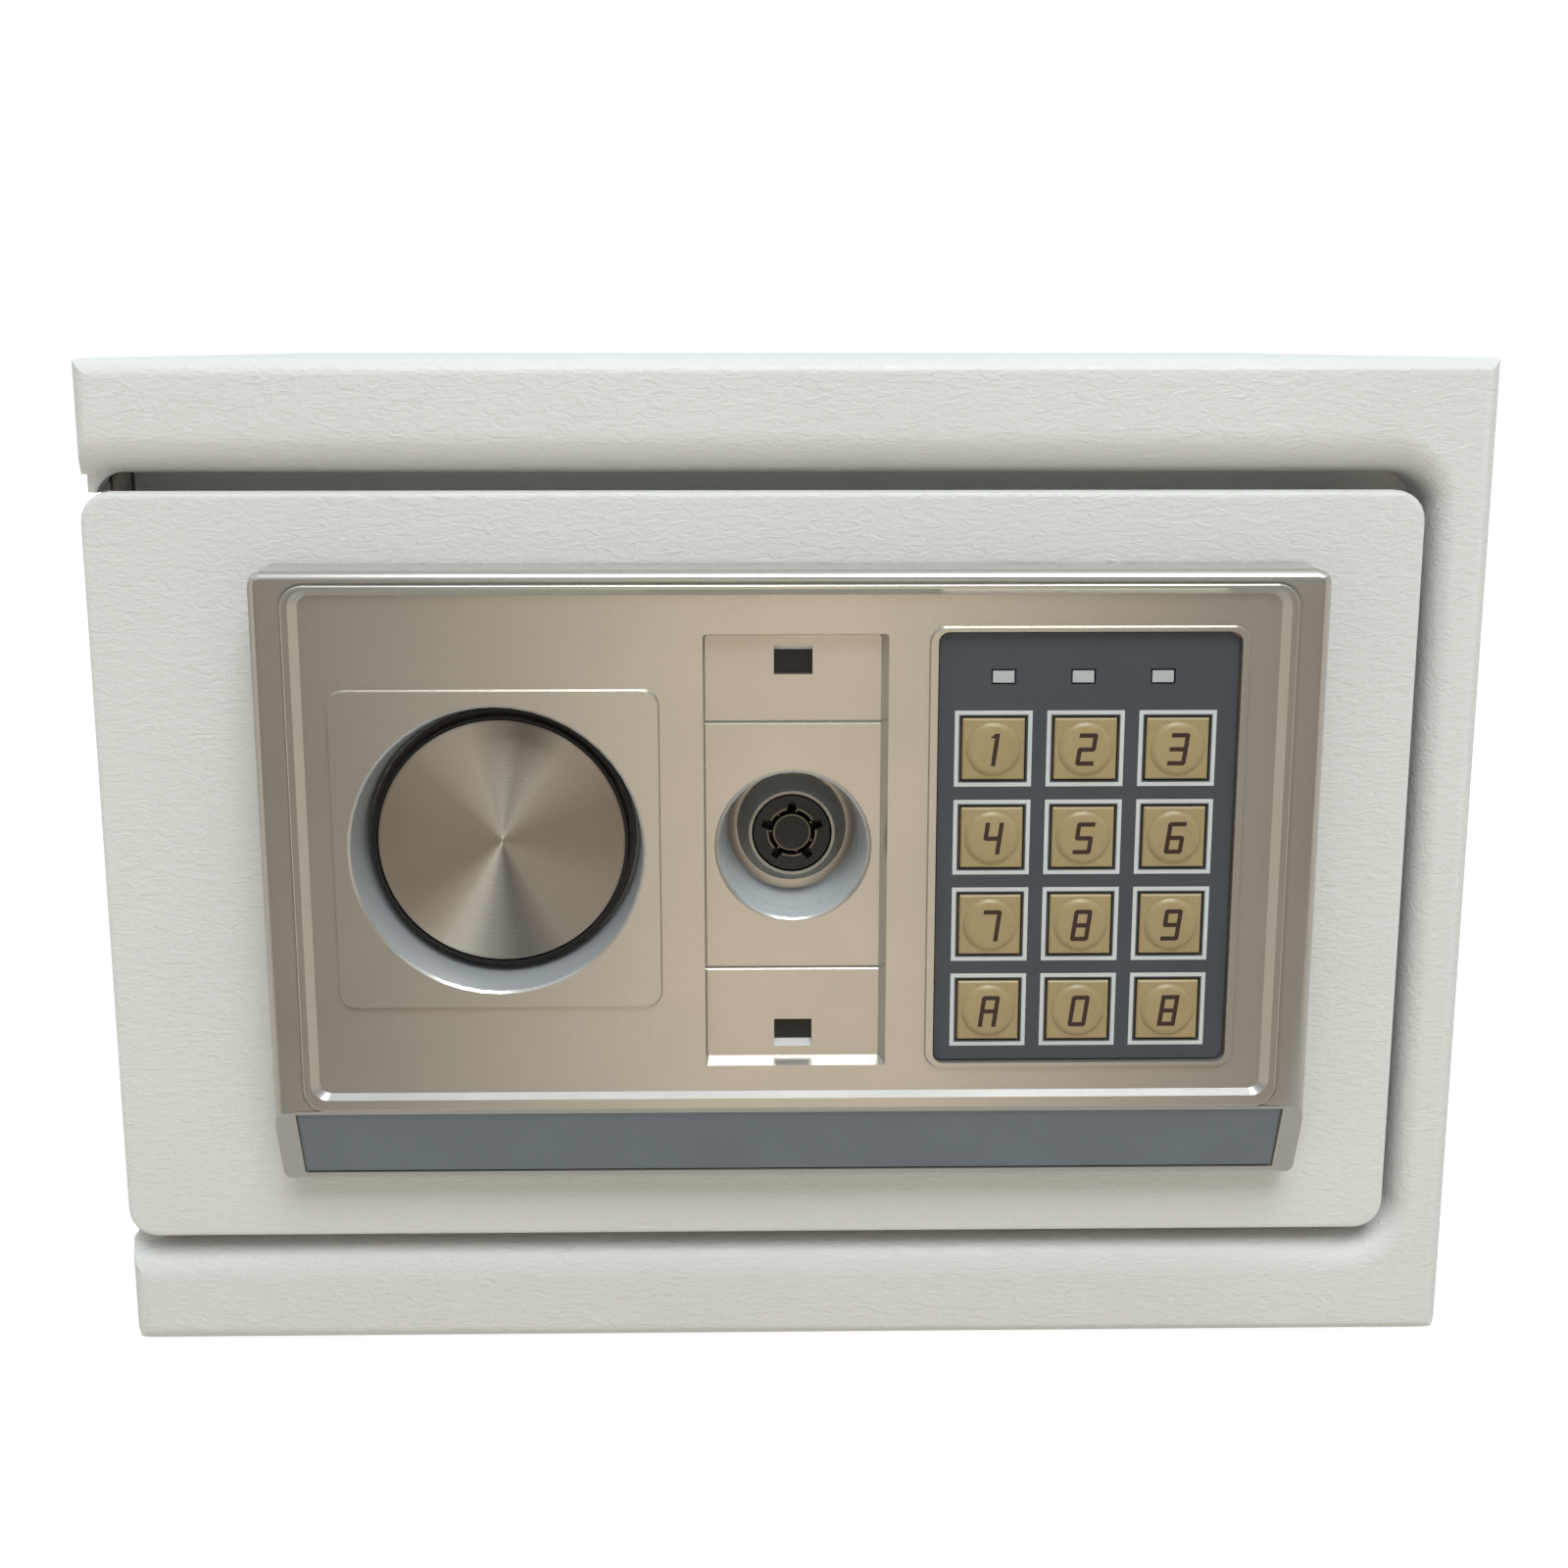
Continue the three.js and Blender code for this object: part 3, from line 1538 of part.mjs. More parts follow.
function solenoidPlunger() {
  const top = solenoidTop - solenoidPlate - seat - 1;
  return turnedZ(
    [
      [0, plungerTip],
      [plungerRadius - 0.6, plungerTip],
      [plungerRadius, plungerTip + 0.6],
      [plungerRadius, collarBottom],
      [collarRadius, collarBottom],
      [collarRadius, collarBottom + collarThickness],
      [plungerRadius, collarBottom + collarThickness],
      [plungerRadius, top],
      [0, top],
    ],
    solenoidX,
    solenoidY,
  );
}

// Helix of round wire between the plunger's collar and the solenoid's frame
function plungerSpring() {
  const low = collarBottom + collarThickness + seat + springWire / 2;
  const high = solenoidBottom - seat - springWire / 2;
  class Helix extends THREE.Curve {
    getPoint(t, target = new THREE.Vector3()) {
      const angle = t * springTurns * 2 * Math.PI;
      const x = springRadius * Math.cos(angle);
      const y = springRadius * Math.sin(angle);
      return target.set(x, y, low + (high - low) * t);
    }
  }
  const wire = new THREE.Shape();
  wire.absarc(0, 0, springWire / 2, 0, 2 * Math.PI, false);
  const geometry = new THREE.ExtrudeGeometry(wire, {
    steps: Math.round(springTurns * 8),
    extrudePath: new Helix(),
    curveSegments: 3,
  });
  geometry.translate(solenoidX, solenoidY, 0);
  return solid(geometry);
}

// A sleeve with a tapered head that stands on the well's floor
function lockCylinder() {
  const flangeBack = funnelFloor - seat;
  const bore = lockCoreRadius + seat;
  return turnedY(
    [
      [bore, lockHeadFront],
      [lockHeadRadius, lockHeadFront],
      [lockFlangeRadius, flangeBack - lockFlangeThickness],
      [lockFlangeRadius, flangeBack],
      [lockBodyRadius, flangeBack],
      [lockBodyRadius, lockBodyLength],
      [bore, lockBodyLength],
    ],
    lockX,
    lockZ,
    32,
  );
}

function lockNut() {
  const points = [];
  for (let corner = 0; corner < 6; corner++) {
    const angle = (corner * Math.PI) / 3;
    const radius = lockNutWidth / 2 / Math.cos(Math.PI / 6);
    points.push([lockX + radius * Math.cos(angle), lockZ + radius * Math.sin(angle)]);
  }
  const front = funnelFloorBack + seat;
  const back = front + lockNutThickness;
  const bore = rod(lockBodyRadius + seat, front - 1, back + 1);
  return slab(polygon(points), front, back).subtract(turnedY(bore, lockX, lockZ));
}

// Core with a round keyway, a post in it and notches round it, and a tail that carries the cam
function lockCore() {
  const face = lockHeadFront + lockCoreSink;
  const tailEnd = coreEnd + seat + lockCamThickness + 1;
  let core = turnedY(
    [
      [0, face],
      [keywayInner, face],
      [keywayInner, face + keywayDepth],
      [keywayOuter, face + keywayDepth],
      [keywayOuter, face],
      [lockCoreRadius, face],
      [lockCoreRadius, coreEnd],
      [lockTailRadius, coreEnd],
      [lockTailRadius, tailEnd],
      [0, tailEnd],
    ],
    0,
    0,
  );
  const reachOut = keywayOuter + keyNotchReach;
  for (let notch = 0; notch < keyNotches; notch++) {
    const cutter = slab(
      rectangle(-keyNotchWidth / 2, keywayInner + 0.4, keyNotchWidth / 2, reachOut),
      face - 1,
      face + keywayDepth / 2,
    );
    core = core.subtract(cutter.rotate([0, (notch * 360) / keyNotches, 0]));
  }
  return core.translate([lockX, 0, lockZ]);
}

function lockCam() {
  const front = coreEnd + seat;
  const half = lockCamWidth / 2;
  const arm = joined(
    slab(circle(0, 0, lockTailRadius + lockCamEye), front, front + lockCamThickness, 8),
    slab(rectangle(-half, -lockCamLength, half, 0, [2, 2, 0, 0]), front, front + lockCamThickness),
  );
  const hole = turnedY(rod(lockTailRadius + seat, front - 1, front + lockCamThickness + 1), 0, 0, 16);
  return arm.subtract(hole).translate([lockX, 0, lockZ]);
}

function batteryBoxWidth() {
  return cellColumnCount * (cellLength + cellGap) + 2 * boxWall;
}

function batteryBoxHeight() {
  return cellRowCount * (2 * cellRadius + 2 * cellGap) + 2 * boxWall;
}

function batteryBoxDepth() {
  return 2 * cellRadius + cellHeadroom + boxWall;
}

function batteryBox() {
  const right = boxLeft + batteryBoxWidth();
  const top = boxBottom + batteryBoxHeight();
  const back = coverBack - sheet - seat;
  const front = back - batteryBoxDepth();
  const block = slab(rectangle(boxLeft, boxBottom, right, top, 1), front, back, 1);
  const inner = rectangle(boxLeft + boxWall, boxBottom + boxWall, right - boxWall, top - boxWall);
  return block.subtract(slab(inner, front + boxWall, back + 1));
}

// A cell lying along X, drawn around its own middle
function batteryCell() {
  const half = cellLength / 2;
  const can = half - cellButtonLength;
  return turnedX(
    [
      [0, -half],
      [cellRadius - 0.5, -half],
      [cellRadius, 0.5 - half],
      [cellRadius, can - 0.5],
      [cellRadius - 0.5, can],
      [cellButtonRadius, can],
      [cellButtonRadius, half],
      [0, half],
    ],
    0,
    0,
  );
}

function addCells(group) {
  const y = coverBack - sheet - seat - batteryBoxDepth() + boxWall + seat + cellRadius;
  let number = 1;
  for (let row = 0; row < cellRowCount; row++) {
    for (let column = 0; column < cellColumnCount; column++) {
      const x = boxLeft + boxWall + (column + 0.5) * (cellLength + cellGap);
      const z = boxBottom + boxWall + (row + 0.5) * (2 * cellRadius + 2 * cellGap);
      const cell = piece(group, "battery_cell_" + number, batteryCell(), cellSleeve, x, y, z);
      if (row % 2) cell.rotation.z = Math.PI;
      number += 1;
    }
  }
}

// The opening in the cover's back that the lid closes
function lidOpening(inset) {
  return rectangle(
    boxLeft + lidOverlap + inset,
    boxBottom + lidOverlap + inset,
    boxLeft + batteryBoxWidth() - lidOverlap - inset,
    boxBottom + batteryBoxHeight() - lidOverlap - inset,
    1,
  );
}

function innerCover() {
  const outline = rectangle(coverLeft, coverBottom, coverRight, coverTop, coverCornerRadius);
  const inner = rectangle(
    coverLeft + sheet,
    coverBottom + sheet,
    coverRight - sheet,
    coverTop - sheet,
    coverCornerRadius - sheet,
  );
  const cuts = [
    slab(inner, mountY - 1, coverBack - sheet, 2),
    slab(lidOpening(0), coverBack - sheet - 1, coverBack + 1, 1),
    turnedY(rod(resetRadius + seat, coverBack - sheet - 1, coverBack + 1), resetX, resetZ, 16),
  ];
  for (const side of [-1, 1]) {
    const hole = rod(boltRadius + boltHoleClearance, coverRight - sheet - 1, coverRight + 1);
    cuts.push(turnedX(hole, boltY, boltZ + (side * boltSpacing) / 2));
  }
  for (const [x, z] of doorPosts()) {
    cuts.push(turnedY(rod(screwRadius + seat, coverBack - sheet - 1, coverBack + 1), x, z, 10));
  }
  return cut(slab(outline, mountY, coverBack, 2), ...cuts);
}

// Pan-head screw with a cross slot, drawn at its own axis
function coverScrew() {
  const top = coverBack + seat;
  const screw = turnedY(
    [
      [0, top - screwLength],
      [screwRadius, top - screwLength],
      [screwRadius, top],
      [screwHeadRadius, top],
      [screwHeadRadius, top + screwHeadHeight * 0.5],
      [screwHeadRadius * 0.75, top + screwHeadHeight],
      [0, top + screwHeadHeight],
    ],
    0,
    0,
    14,
  );
  const head = top + screwHeadHeight;
  const blade = (width, height) =>
    slab(centred(0, 0, width, height), head - screwSlotDepth, head + 1);
  return cut(
    screw,
    blade(screwSlotLength, screwSlotWidth),
    blade(screwSlotWidth, screwSlotLength),
  );
}

// Lid with a finger tab, hinged along its lower edge
function batteryLid() {
  const lid = slab(lidOpening(seat), coverBack - sheet, coverBack, 1);
  const tabX = boxLeft + batteryBoxWidth() / 2;
  const tabTop = boxBottom + batteryBoxHeight() - lidOverlap - 2;
  const groove = centred(tabX, tabTop - lidTabHeight / 2, lidTabWidth, lidTabHeight, 1);
  return lid.subtract(slab(groove, coverBack - lidTabDepth, coverBack + 1, 2));
}

function resetSwitch() {
  const back = coverBack - sheet - seat;
  const outline = centred(resetX, resetZ, resetSwitchSize, resetSwitchSize);
  const bore = rod(resetRadius + seat, back - resetBoreDepth, back + 1);
  return slab(outline, back - resetSwitchDepth, back).subtract(turnedY(bore, resetX, resetZ, 16));
}

function resetButton() {
  const back = coverBack + resetProud;
  const front = coverBack - sheet - resetBoreDepth + resetTravel;
  return turnedY(
    [
      [0, front],
      [resetRadius, front],
      [resetRadius, back - 0.4],
      [resetRadius - 0.4, back],
      [0, back],
    ],
    resetX,
    resetZ,
    16,
  );
}

function addBody() {
  piece(body, "body_shell", bodyShell(), enamel);
  piece(body, "back_panel", backPanel(), enamel);
  piece(body, "bolt_keeper", boltKeeper(), steel);
  hingePair(body, "hinge_bracket", hingeBracket(), steel);
  hingePair(body, "hinge_pin", hingePin(), steel, hingeX, hingeY);
}

function addPanel() {
  piece(panel, "panel_bezel", panelBezel(), champagne);
  piece(panel, "bezel_strip", bezelStrip(), stripGrey);
  piece(keypad, "keypad_overlay", keypadOverlay(), slate);
  piece(keypad, "led_light_bar", lightBar(), lightLens);
  piece(keypad, "keypad_board", keypadBoard(), boardGreen);
  for (const { name, x, z } of keyPlaces()) {
    piece(keypad, "key_" + name, keyCap(), gold, x, 0, z);
  }
}

function addBoltWork() {
  piece(boltWork, "knob_body", knobBody(), blackPlastic);
  piece(boltWork, "knob_disc", knobDisc(), brushedSteel);
  piece(boltWork, "knob_shaft", knobShaft(), steel);
  piece(boltWork, "shaft_bush", shaftBush(), zinc);
  piece(boltWork, "bolt_carriage", boltCarriage(), zinc);
  piece(boltWork, "locking_bolt_lower", lockingBolt(), steel, boltRest, boltY, boltZ - boltSpacing / 2);
  piece(boltWork, "locking_bolt_upper", lockingBolt(), steel, boltRest, boltY, boltZ + boltSpacing / 2);
  piece(boltWork, "bolt_guide", boltGuide(), steel);
  piece(boltWork, "guide_stud_left", guideStud(), steel, leftStudX, 0, studZ);
  piece(boltWork, "guide_stud_right", guideStud(), steel, rightStudX, 0, studZ);
  piece(boltWork, "solenoid_frame", solenoidFrame(), zinc);
  piece(boltWork, "solenoid_coil", solenoidCoil(), copper);
  piece(boltWork, "solenoid_plunger", solenoidPlunger(), steel);
  piece(boltWork, "plunger_spring", plungerSpring(), steel);
}

function addLock() {
  piece(lock, "lock_well", lockWell(), champagne);
  piece(lock, "lock_cylinder", lockCylinder(), zinc);
  piece(lock, "lock_nut", lockNut(), zinc);
  piece(lock, "lock_core", lockCore(), blackPlastic);
  piece(lock, "lock_cam", lockCam(), steel);
}

function addCover() {
  piece(cover, "inner_cover", innerCover(), enamel);
  doorPosts().forEach(([x, z], i) => {
    piece(cover, "cover_screw_" + (i + 1), coverScrew(), steel, x, 0, z);
  });
  piece(cover, "battery_box", batteryBox(), blackPlastic);
  addCells(cover);
  piece(cover, "battery_lid", batteryLid(), blackPlastic);
  piece(cover, "circuit_board", circuitBoard(), boardGreen);
  piece(cover, "reset_switch", resetSwitch(), blackPlastic);
  piece(cover, "reset_button", resetButton(), redPlastic);
}

addBody();
piece(door, "door_plate", doorPlate(), enamel);
hingePair(door, "hinge_knuckle", hingeKnuckle(), steel, hingeX, hingeY);
addPanel();
addBoltWork();
addLock();
addCover();
safe.position.y = -(bodyDepth + ridgeFront) / 2;

export default safe;
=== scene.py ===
import json
import math

import bmesh
import bpy
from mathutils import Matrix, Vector


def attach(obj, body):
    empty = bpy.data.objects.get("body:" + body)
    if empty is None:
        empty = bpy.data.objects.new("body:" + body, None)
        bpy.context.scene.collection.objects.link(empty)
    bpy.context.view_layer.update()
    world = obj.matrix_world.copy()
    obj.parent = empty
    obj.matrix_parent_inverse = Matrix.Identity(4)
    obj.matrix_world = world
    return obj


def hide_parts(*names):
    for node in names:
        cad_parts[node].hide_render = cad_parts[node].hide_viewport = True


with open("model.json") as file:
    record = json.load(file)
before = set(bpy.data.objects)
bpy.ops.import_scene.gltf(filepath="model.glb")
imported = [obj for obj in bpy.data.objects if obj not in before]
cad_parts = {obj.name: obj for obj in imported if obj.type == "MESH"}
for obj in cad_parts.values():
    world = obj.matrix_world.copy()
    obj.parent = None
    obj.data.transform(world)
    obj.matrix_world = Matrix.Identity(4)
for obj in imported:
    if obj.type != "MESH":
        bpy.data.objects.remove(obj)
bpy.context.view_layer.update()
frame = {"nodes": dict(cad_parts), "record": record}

scene = bpy.context.scene

# Lengths are in millimetres and angles in degrees where nothing else is said. A place is x from the
# safe's middle, a depth behind the body's front face, which is negative in front of it, and z above
# what the safe stands on.
MM = 0.001
FRONT = -0.07875  # where the body's front face lies along Y, in metres
SAME_PLACE = 0.001  # vertices nearer to each other than this are joined

# x and z of the two round wells' middles
KNOB = (-47.5, 92)
LOCK = (0.3, 92)


def place(x, depth, z):
    return Vector((x * MM, FRONT + depth * MM, z * MM))


# ---------------------------------------------------------------- camera
CAMERA_AT = (-6.2, -316.87, 172.3)
CAMERA_DOWN, CAMERA_RIGHT = 11.233, 0.938  # from level, and from straight ahead
LENS, SENSOR, SHIFT = 44.764, 36.0, -0.03396


def make_camera():
    data = bpy.data.cameras.new("camera")
    data.sensor_width = SENSOR
    data.lens = LENS
    data.shift_y = SHIFT
    data.clip_start, data.clip_end = 0.01, 50.0  # metres
    camera = bpy.data.objects.new("camera", data)
    camera.location = place(*CAMERA_AT)
    camera.rotation_euler = (math.radians(90 - CAMERA_DOWN), 0, -math.radians(CAMERA_RIGHT))
    scene.collection.objects.link(camera)
    scene.camera = camera


# ---------------------------------------------------------------- node trees
class Nodes:
    """The nodes of a material or world, with short ways to add and join them."""

    def __init__(self, owner):
        owner.use_nodes = True
        self.tree = owner.node_tree

    def __getitem__(self, name):
        return self.tree.nodes[name]

    def add(self, kind, **inputs):
        node = self.tree.nodes.new("ShaderNode" + kind)
        for name, value in inputs.items():
            node.inputs[name.replace("_", " ")].default_value = value
        return node

    # Joins an output to an input, or writes a plain value or colour into the input
    def feed(self, value, socket):
        if isinstance(value, bpy.types.NodeSocket):
            self.tree.links.new(value, socket)
        elif socket.type == "RGBA":
            socket.default_value = (*value, 1)
        else:
            socket.default_value = value

    def compute(self, operation, *values, kind="Math", result=0):
        node = self.add(kind)
        node.operation = operation
        for value, socket in zip(values, node.inputs):
            self.feed(value, socket)
        return node.outputs[result]

    # The range from start to end becomes the range from low to high
    def ranged(self, value, low, high, start, end, interpolation="LINEAR"):
        node = self.add("MapRange", From_Min=start, From_Max=end, To_Min=low, To_Max=high)
        node.interpolation_type = interpolation
        self.feed(value, node.inputs["Value"])
        return node.outputs["Result"]

    def mixed(self, share, first, second):
        node = self.add("Mix")
        node.data_type = "RGBA"
        colors = [socket for socket in node.inputs if socket.type == "RGBA"]
        for value, socket in zip((share, first, second), (node.inputs["Factor"], *colors)):
            self.feed(value, socket)
        return next(socket for socket in node.outputs if socket.type == "RGBA")

    def mixed_shaders(self, share, first, second):
        node = self.add("MixShader")
        for value, socket in zip((share, first, second), node.inputs):
            self.feed(value, socket)
        return node.outputs[0]


# ---------------------------------------------------------------- materials
class Paint(Nodes):
    """A material with one Principled shader, to which surface detail is added."""

    def __init__(self, name, color, roughness, metallic=0.0, **sockets):
        self.mat = bpy.data.materials.new(name)
        super().__init__(self.mat)
        self.color = color
        self.roughness = roughness
        self.normal = None
        self.inputs = self["Principled BSDF"].inputs
        self.feed(color, self.inputs["Base Color"])
        for socket, value in {"Roughness": roughness, "Metallic": metallic, **sockets}.items():
            self.inputs[socket.replace("_", " ")].default_value = value

    # Object coordinates, stretched by a scale along each axis
    def coords(self, stretch=(1, 1, 1)):
        mapping = self.add("Mapping", Scale=stretch)
        self.feed(self.add("TexCoord").outputs["Object"], mapping.inputs["Vector"])
        return mapping.outputs["Vector"]

    def noise(self, scale, detail=3.0, stretch=(1, 1, 1), distortion=0.0):
        noise = self.add("TexNoise", Scale=scale, Detail=detail, Distortion=distortion)
        self.feed(self.coords(stretch), noise.inputs["Vector"])
        return noise.outputs["Fac"]

    # Most of a noise lies from 0.3 to 0.7
    def spread(self, value, low=0, high=1):
        return self.ranged(value, low, high, 0.3, 0.7)

    # The colour wanders by a share of itself, which may differ from channel to channel
    def mottle(self, value, share, tint=(1, 1, 1)):
        dark = [c * (1 - share * t) for c, t in zip(self.color, tint)]
        light = [min(c * (1 + share * t), 1) for c, t in zip(self.color, tint)]
        self.feed(self.mixed(value, dark, light), self.inputs["Base Color"])

    def vary_roughness(self, value, by):
        self.feed(self.spread(value, self.roughness - by, self.roughness + by), self.inputs["Roughness"])

    # Adds to the relief that is already there
    def relief(self, value, depth, strength):
        bump = self.add("Bump", Strength=strength, Distance=depth * MM)
        self.feed(value, bump.inputs["Height"])
        if self.normal is not None:
            self.feed(self.normal, bump.inputs["Normal"])
        self.normal = bump.outputs["Normal"]
        self.feed(self.normal, self.inputs["Normal"])


def powder_coat():
    paint = Paint("powder_coat", (0.68, 0.68, 0.655), 0.44, Specular_IOR_Level=0.5)
    paint.mottle(paint.spread(paint.noise(14)), 0.02)
    paint.vary_roughness(paint.noise(400, 2), 0.05)
    paint.relief(paint.noise(900, 2.5, stretch=(0.45, 1, 1), distortion=1.2), 0.3, 0.7)
    paint.relief(paint.noise(2600, 2), 0.02, 0.5)
    return paint.mat


# Sprayed metallic finish of the moulded panel
def champagne(name, color, roughness, metallic, coat):
    paint = Paint(name, color, roughness, metallic, Coat_Weight=coat, Coat_Roughness=0.25)
    paint.mottle(paint.spread(paint.noise(2400, 2)), 0.03)
    paint.vary_roughness(paint.noise(60), 0.02)
    paint.relief(paint.noise(420, 2), 0.004, 0.3)
    return paint.mat


def satin_plastic(name, color, roughness, grain=1800, depth=0.012, mottle=0.05):
    paint = Paint(name, color, roughness)
    paint.mottle(paint.spread(paint.noise(90)), mottle)
    paint.vary_roughness(paint.noise(500), 0.06)
    paint.relief(paint.noise(grain, 2), depth, 0.5)
    return paint.mat


def plated(name, color, roughness=0.3, tint=(1, 1, 1), mottle=0.08):
    paint = Paint(name, color, roughness, 1.0)
    paint.mottle(paint.spread(paint.noise(160, 4, distortion=0.6)), mottle, tint)
    paint.vary_roughness(paint.noise(700), 0.07)
    paint.relief(paint.noise(1500), 0.01, 0.5)
    return paint.mat


# Painted highlights and painted shade in the disc's colour, as wedges where the brushing would catch more
# light or less: an hour on a clock's face, half width, weight
PAINTED_SHINE_WEDGES = (
    (11.4, 30, 1.0), (0.3, 24, -1.3), (1.5, 25, 0.35), (4.1, 30, 0.35), (6.0, 30, -1.5), (7.0, 24, 0.4),
)


# Steel brushed in circles about the disc's middle, with wedges of painted highlight and painted shade in its
# colour
def brushed_disc_painted_shine(middle):
    paint = Paint("brushed_disc_painted_shine", (0.56, 0.52, 0.46), 0.42, 1.0, Anisotropic=0.95, Anisotropic_Rotation=0.25)
    tangent = paint.add("Tangent")
    tangent.direction_type = "RADIAL"
    tangent.axis = "Y"
    paint.feed(tangent.outputs["Tangent"], paint.inputs["Tangent"])
    away = paint.compute("SUBTRACT", paint.add("TexCoord").outputs["Object"], middle, kind="VectorMath")
    radius = paint.compute("LENGTH", away, kind="VectorMath", result="Value")
    rings = paint.add("TexNoise", Scale=5200, Detail=3.0)
    rings.noise_dimensions = "1D"
    paint.feed(radius, rings.inputs["W"])
    direction = paint.compute("NORMALIZE", away, kind="VectorMath")
    grain_and_painted_shine = rings.outputs["Fac"]
    for hour, width, weight in PAINTED_SHINE_WEDGES:
        turn = math.radians(30 * hour)
        wedge_middle = (math.sin(turn), 0, math.cos(turn))
        closeness = paint.compute("DOT_PRODUCT", direction, wedge_middle, kind="VectorMath", result="Value")
        wedge_edge = math.cos(math.radians(width))
        grain_and_painted_shine = paint.compute("ADD", grain_and_painted_shine, paint.ranged(closeness, 0, weight, wedge_edge, 1))
    # The rings' grain and the wedges of painted highlight and painted shade vary the base colour
    paint.mottle(paint.ranged(grain_and_painted_shine, 0, 1, -0.9, 1.7), 0.55)
    paint.vary_roughness(rings.outputs["Fac"], 0.06)
    paint.relief(rings.outputs["Fac"], 0.004, 0.35)
    return paint.mat


def circuit():
    paint = Paint("circuit_green", (0.03, 0.13, 0.055), 0.35, Coat_Weight=0.4)
    cells = paint.add("TexVoronoi", Scale=700)
    cells.distance = "MANHATTAN"
    paint.feed(paint.coords(), cells.inputs["Vector"])
    paint.mottle(paint.ranged(cells.outputs["Distance"], 0, 1, 0.1, 0.5), 0.25)
    paint.relief(cells.outputs["Distance"], 0.03, 0.4)
    return paint.mat


def wound_copper():
    paint = Paint("coil_copper", (0.46, 0.16, 0.06), 0.35, 0.8)
    turns = paint.add("TexWave", Scale=480, Distortion=0.4)
    turns.bands_direction = "Z"
    paint.feed(paint.coords(), turns.inputs["Vector"])
    paint.mottle(turns.outputs["Fac"], 0.25)
    paint.relief(turns.outputs["Fac"], 0.1, 0.8)
    return paint.mat


def make_materials():
    return {
        "powder_coat": powder_coat(),
        "zinc_steel": plated("zinc_steel", (0.58, 0.58, 0.57)),
        "yellow_zinc": plated("yellow_zinc", (0.62, 0.58, 0.46), tint=(0.6, 1, 1.6), mottle=0.14),
        "champagne_panel": champagne("champagne", (0.54, 0.515, 0.47), 0.22, 0.72, 0.0),
        # Bluer copies of the panel's paint for the walls of the wells, the lock's also lighter: painted
        # light from above
        "knob_well_painted_light": champagne("knob_well_painted_light", (0.49, 0.52, 0.535), 0.34, 0.35, 0.1),
        "lock_well_painted_light": champagne("lock_well_painted_light", (0.64, 0.68, 0.69), 0.34, 0.3, 0.1),
        "strip_grey": satin_plastic("strip_grey", (0.145, 0.175, 0.205), 0.4),
        "slate_overlay": satin_plastic("slate_overlay", (0.054, 0.064, 0.076), 0.38, 2600, 0.008),
        "key_gold": satin_plastic("key_gold", (0.345, 0.265, 0.13), 0.33, 2200, 0.003, 0.04),
        "disc_steel": plated("disc_edge", (0.47, 0.42, 0.36)),
        # Steel darkened as painted shade, for the hinge parts in the gap round the door
        "painted_shade_steel": plated("painted_shade_steel", (0.16, 0.155, 0.145), 0.42),
        "lock_steel": plated("lock_steel", (0.42, 0.41, 0.39), 0.36),
        "keyway_bronze": plated("keyway_bronze", (0.27, 0.235, 0.19), 0.42, mottle=0.3),
        "black_plastic": satin_plastic("black_plastic", (0.012, 0.011, 0.010), 0.35),
        "lens": satin_plastic("lens", (0.43, 0.45, 0.465), 0.3, 1200, 0.006),
        # Pale sheet for a painted highlight on each clip pocket's slope
        "pale_painted_highlight": satin_plastic("pale_painted_highlight", (0.66, 0.65, 0.63), 0.4, 1600, 0.004),
        "key_ink": satin_plastic("key_ink", (0.042, 0.018, 0.015), 0.4, 2000, 0.004),
        "frame_print": satin_plastic("frame_print", (0.55, 0.57, 0.57), 0.45, 2400, 0.004),
        "circuit_green": circuit(),
        "coil_copper": wound_copper(),
        "red_plastic": satin_plastic("red_plastic", (0.42, 0.03, 0.022), 0.35),
        "cell_sleeve": satin_plastic("cell_sleeve", (0.035, 0.075, 0.16), 0.3, 900, 0.01),
    }


# ---------------------------------------------------------------- mesh helpers
def new_object(name, mesh, material, body):
    obj = bpy.data.objects.new(name, mesh)
    mesh.materials.append(material)
    scene.collection.objects.link(obj)
    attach(obj, body)
    return obj


def mesh_from(bm, name):
    bmesh.ops.recalc_face_normals(bm, faces=bm.faces)
    mesh = bpy.data.meshes.new(name)
    bm.to_mesh(mesh)
    bm.free()
    return mesh


def shade_smooth(obj, angle=35):
    for polygon in obj.data.polygons:
        polygon.use_smooth = True
    obj.data.set_sharp_from_angle(angle=math.radians(angle))


FLAT_WITHIN = 0.4  # faces that meet at a smaller angle count as one
EDGE_FROM = 28  # edges where faces meet at a smaller angle aren't rounded


# Rounds the edges with modifiers, which leave the mesh as it is
def round_edges(obj, width):
    shade_smooth(obj)
    weld = obj.modifiers.new("weld", "WELD")
    weld.merge_threshold = SAME_PLACE * MM
    flat = obj.modifiers.new("flat", "DECIMATE")
    flat.decimate_type = "DISSOLVE"
    flat.angle_limit = math.radians(FLAT_WITHIN)
    bevel = obj.modifiers.new("bevel", "BEVEL")
    bevel.width = width * MM
    bevel.segments = 2
    bevel.limit_method = "ANGLE"
    bevel.angle_limit = math.radians(EDGE_FROM)
    bevel.harden_normals = False
    bevel.use_clamp_overlap = True
    bevel.miter_outer = "MITER_ARC"
    weighted = obj.modifiers.new("weighted", "WEIGHTED_NORMAL")
    weighted.keep_sharp = False


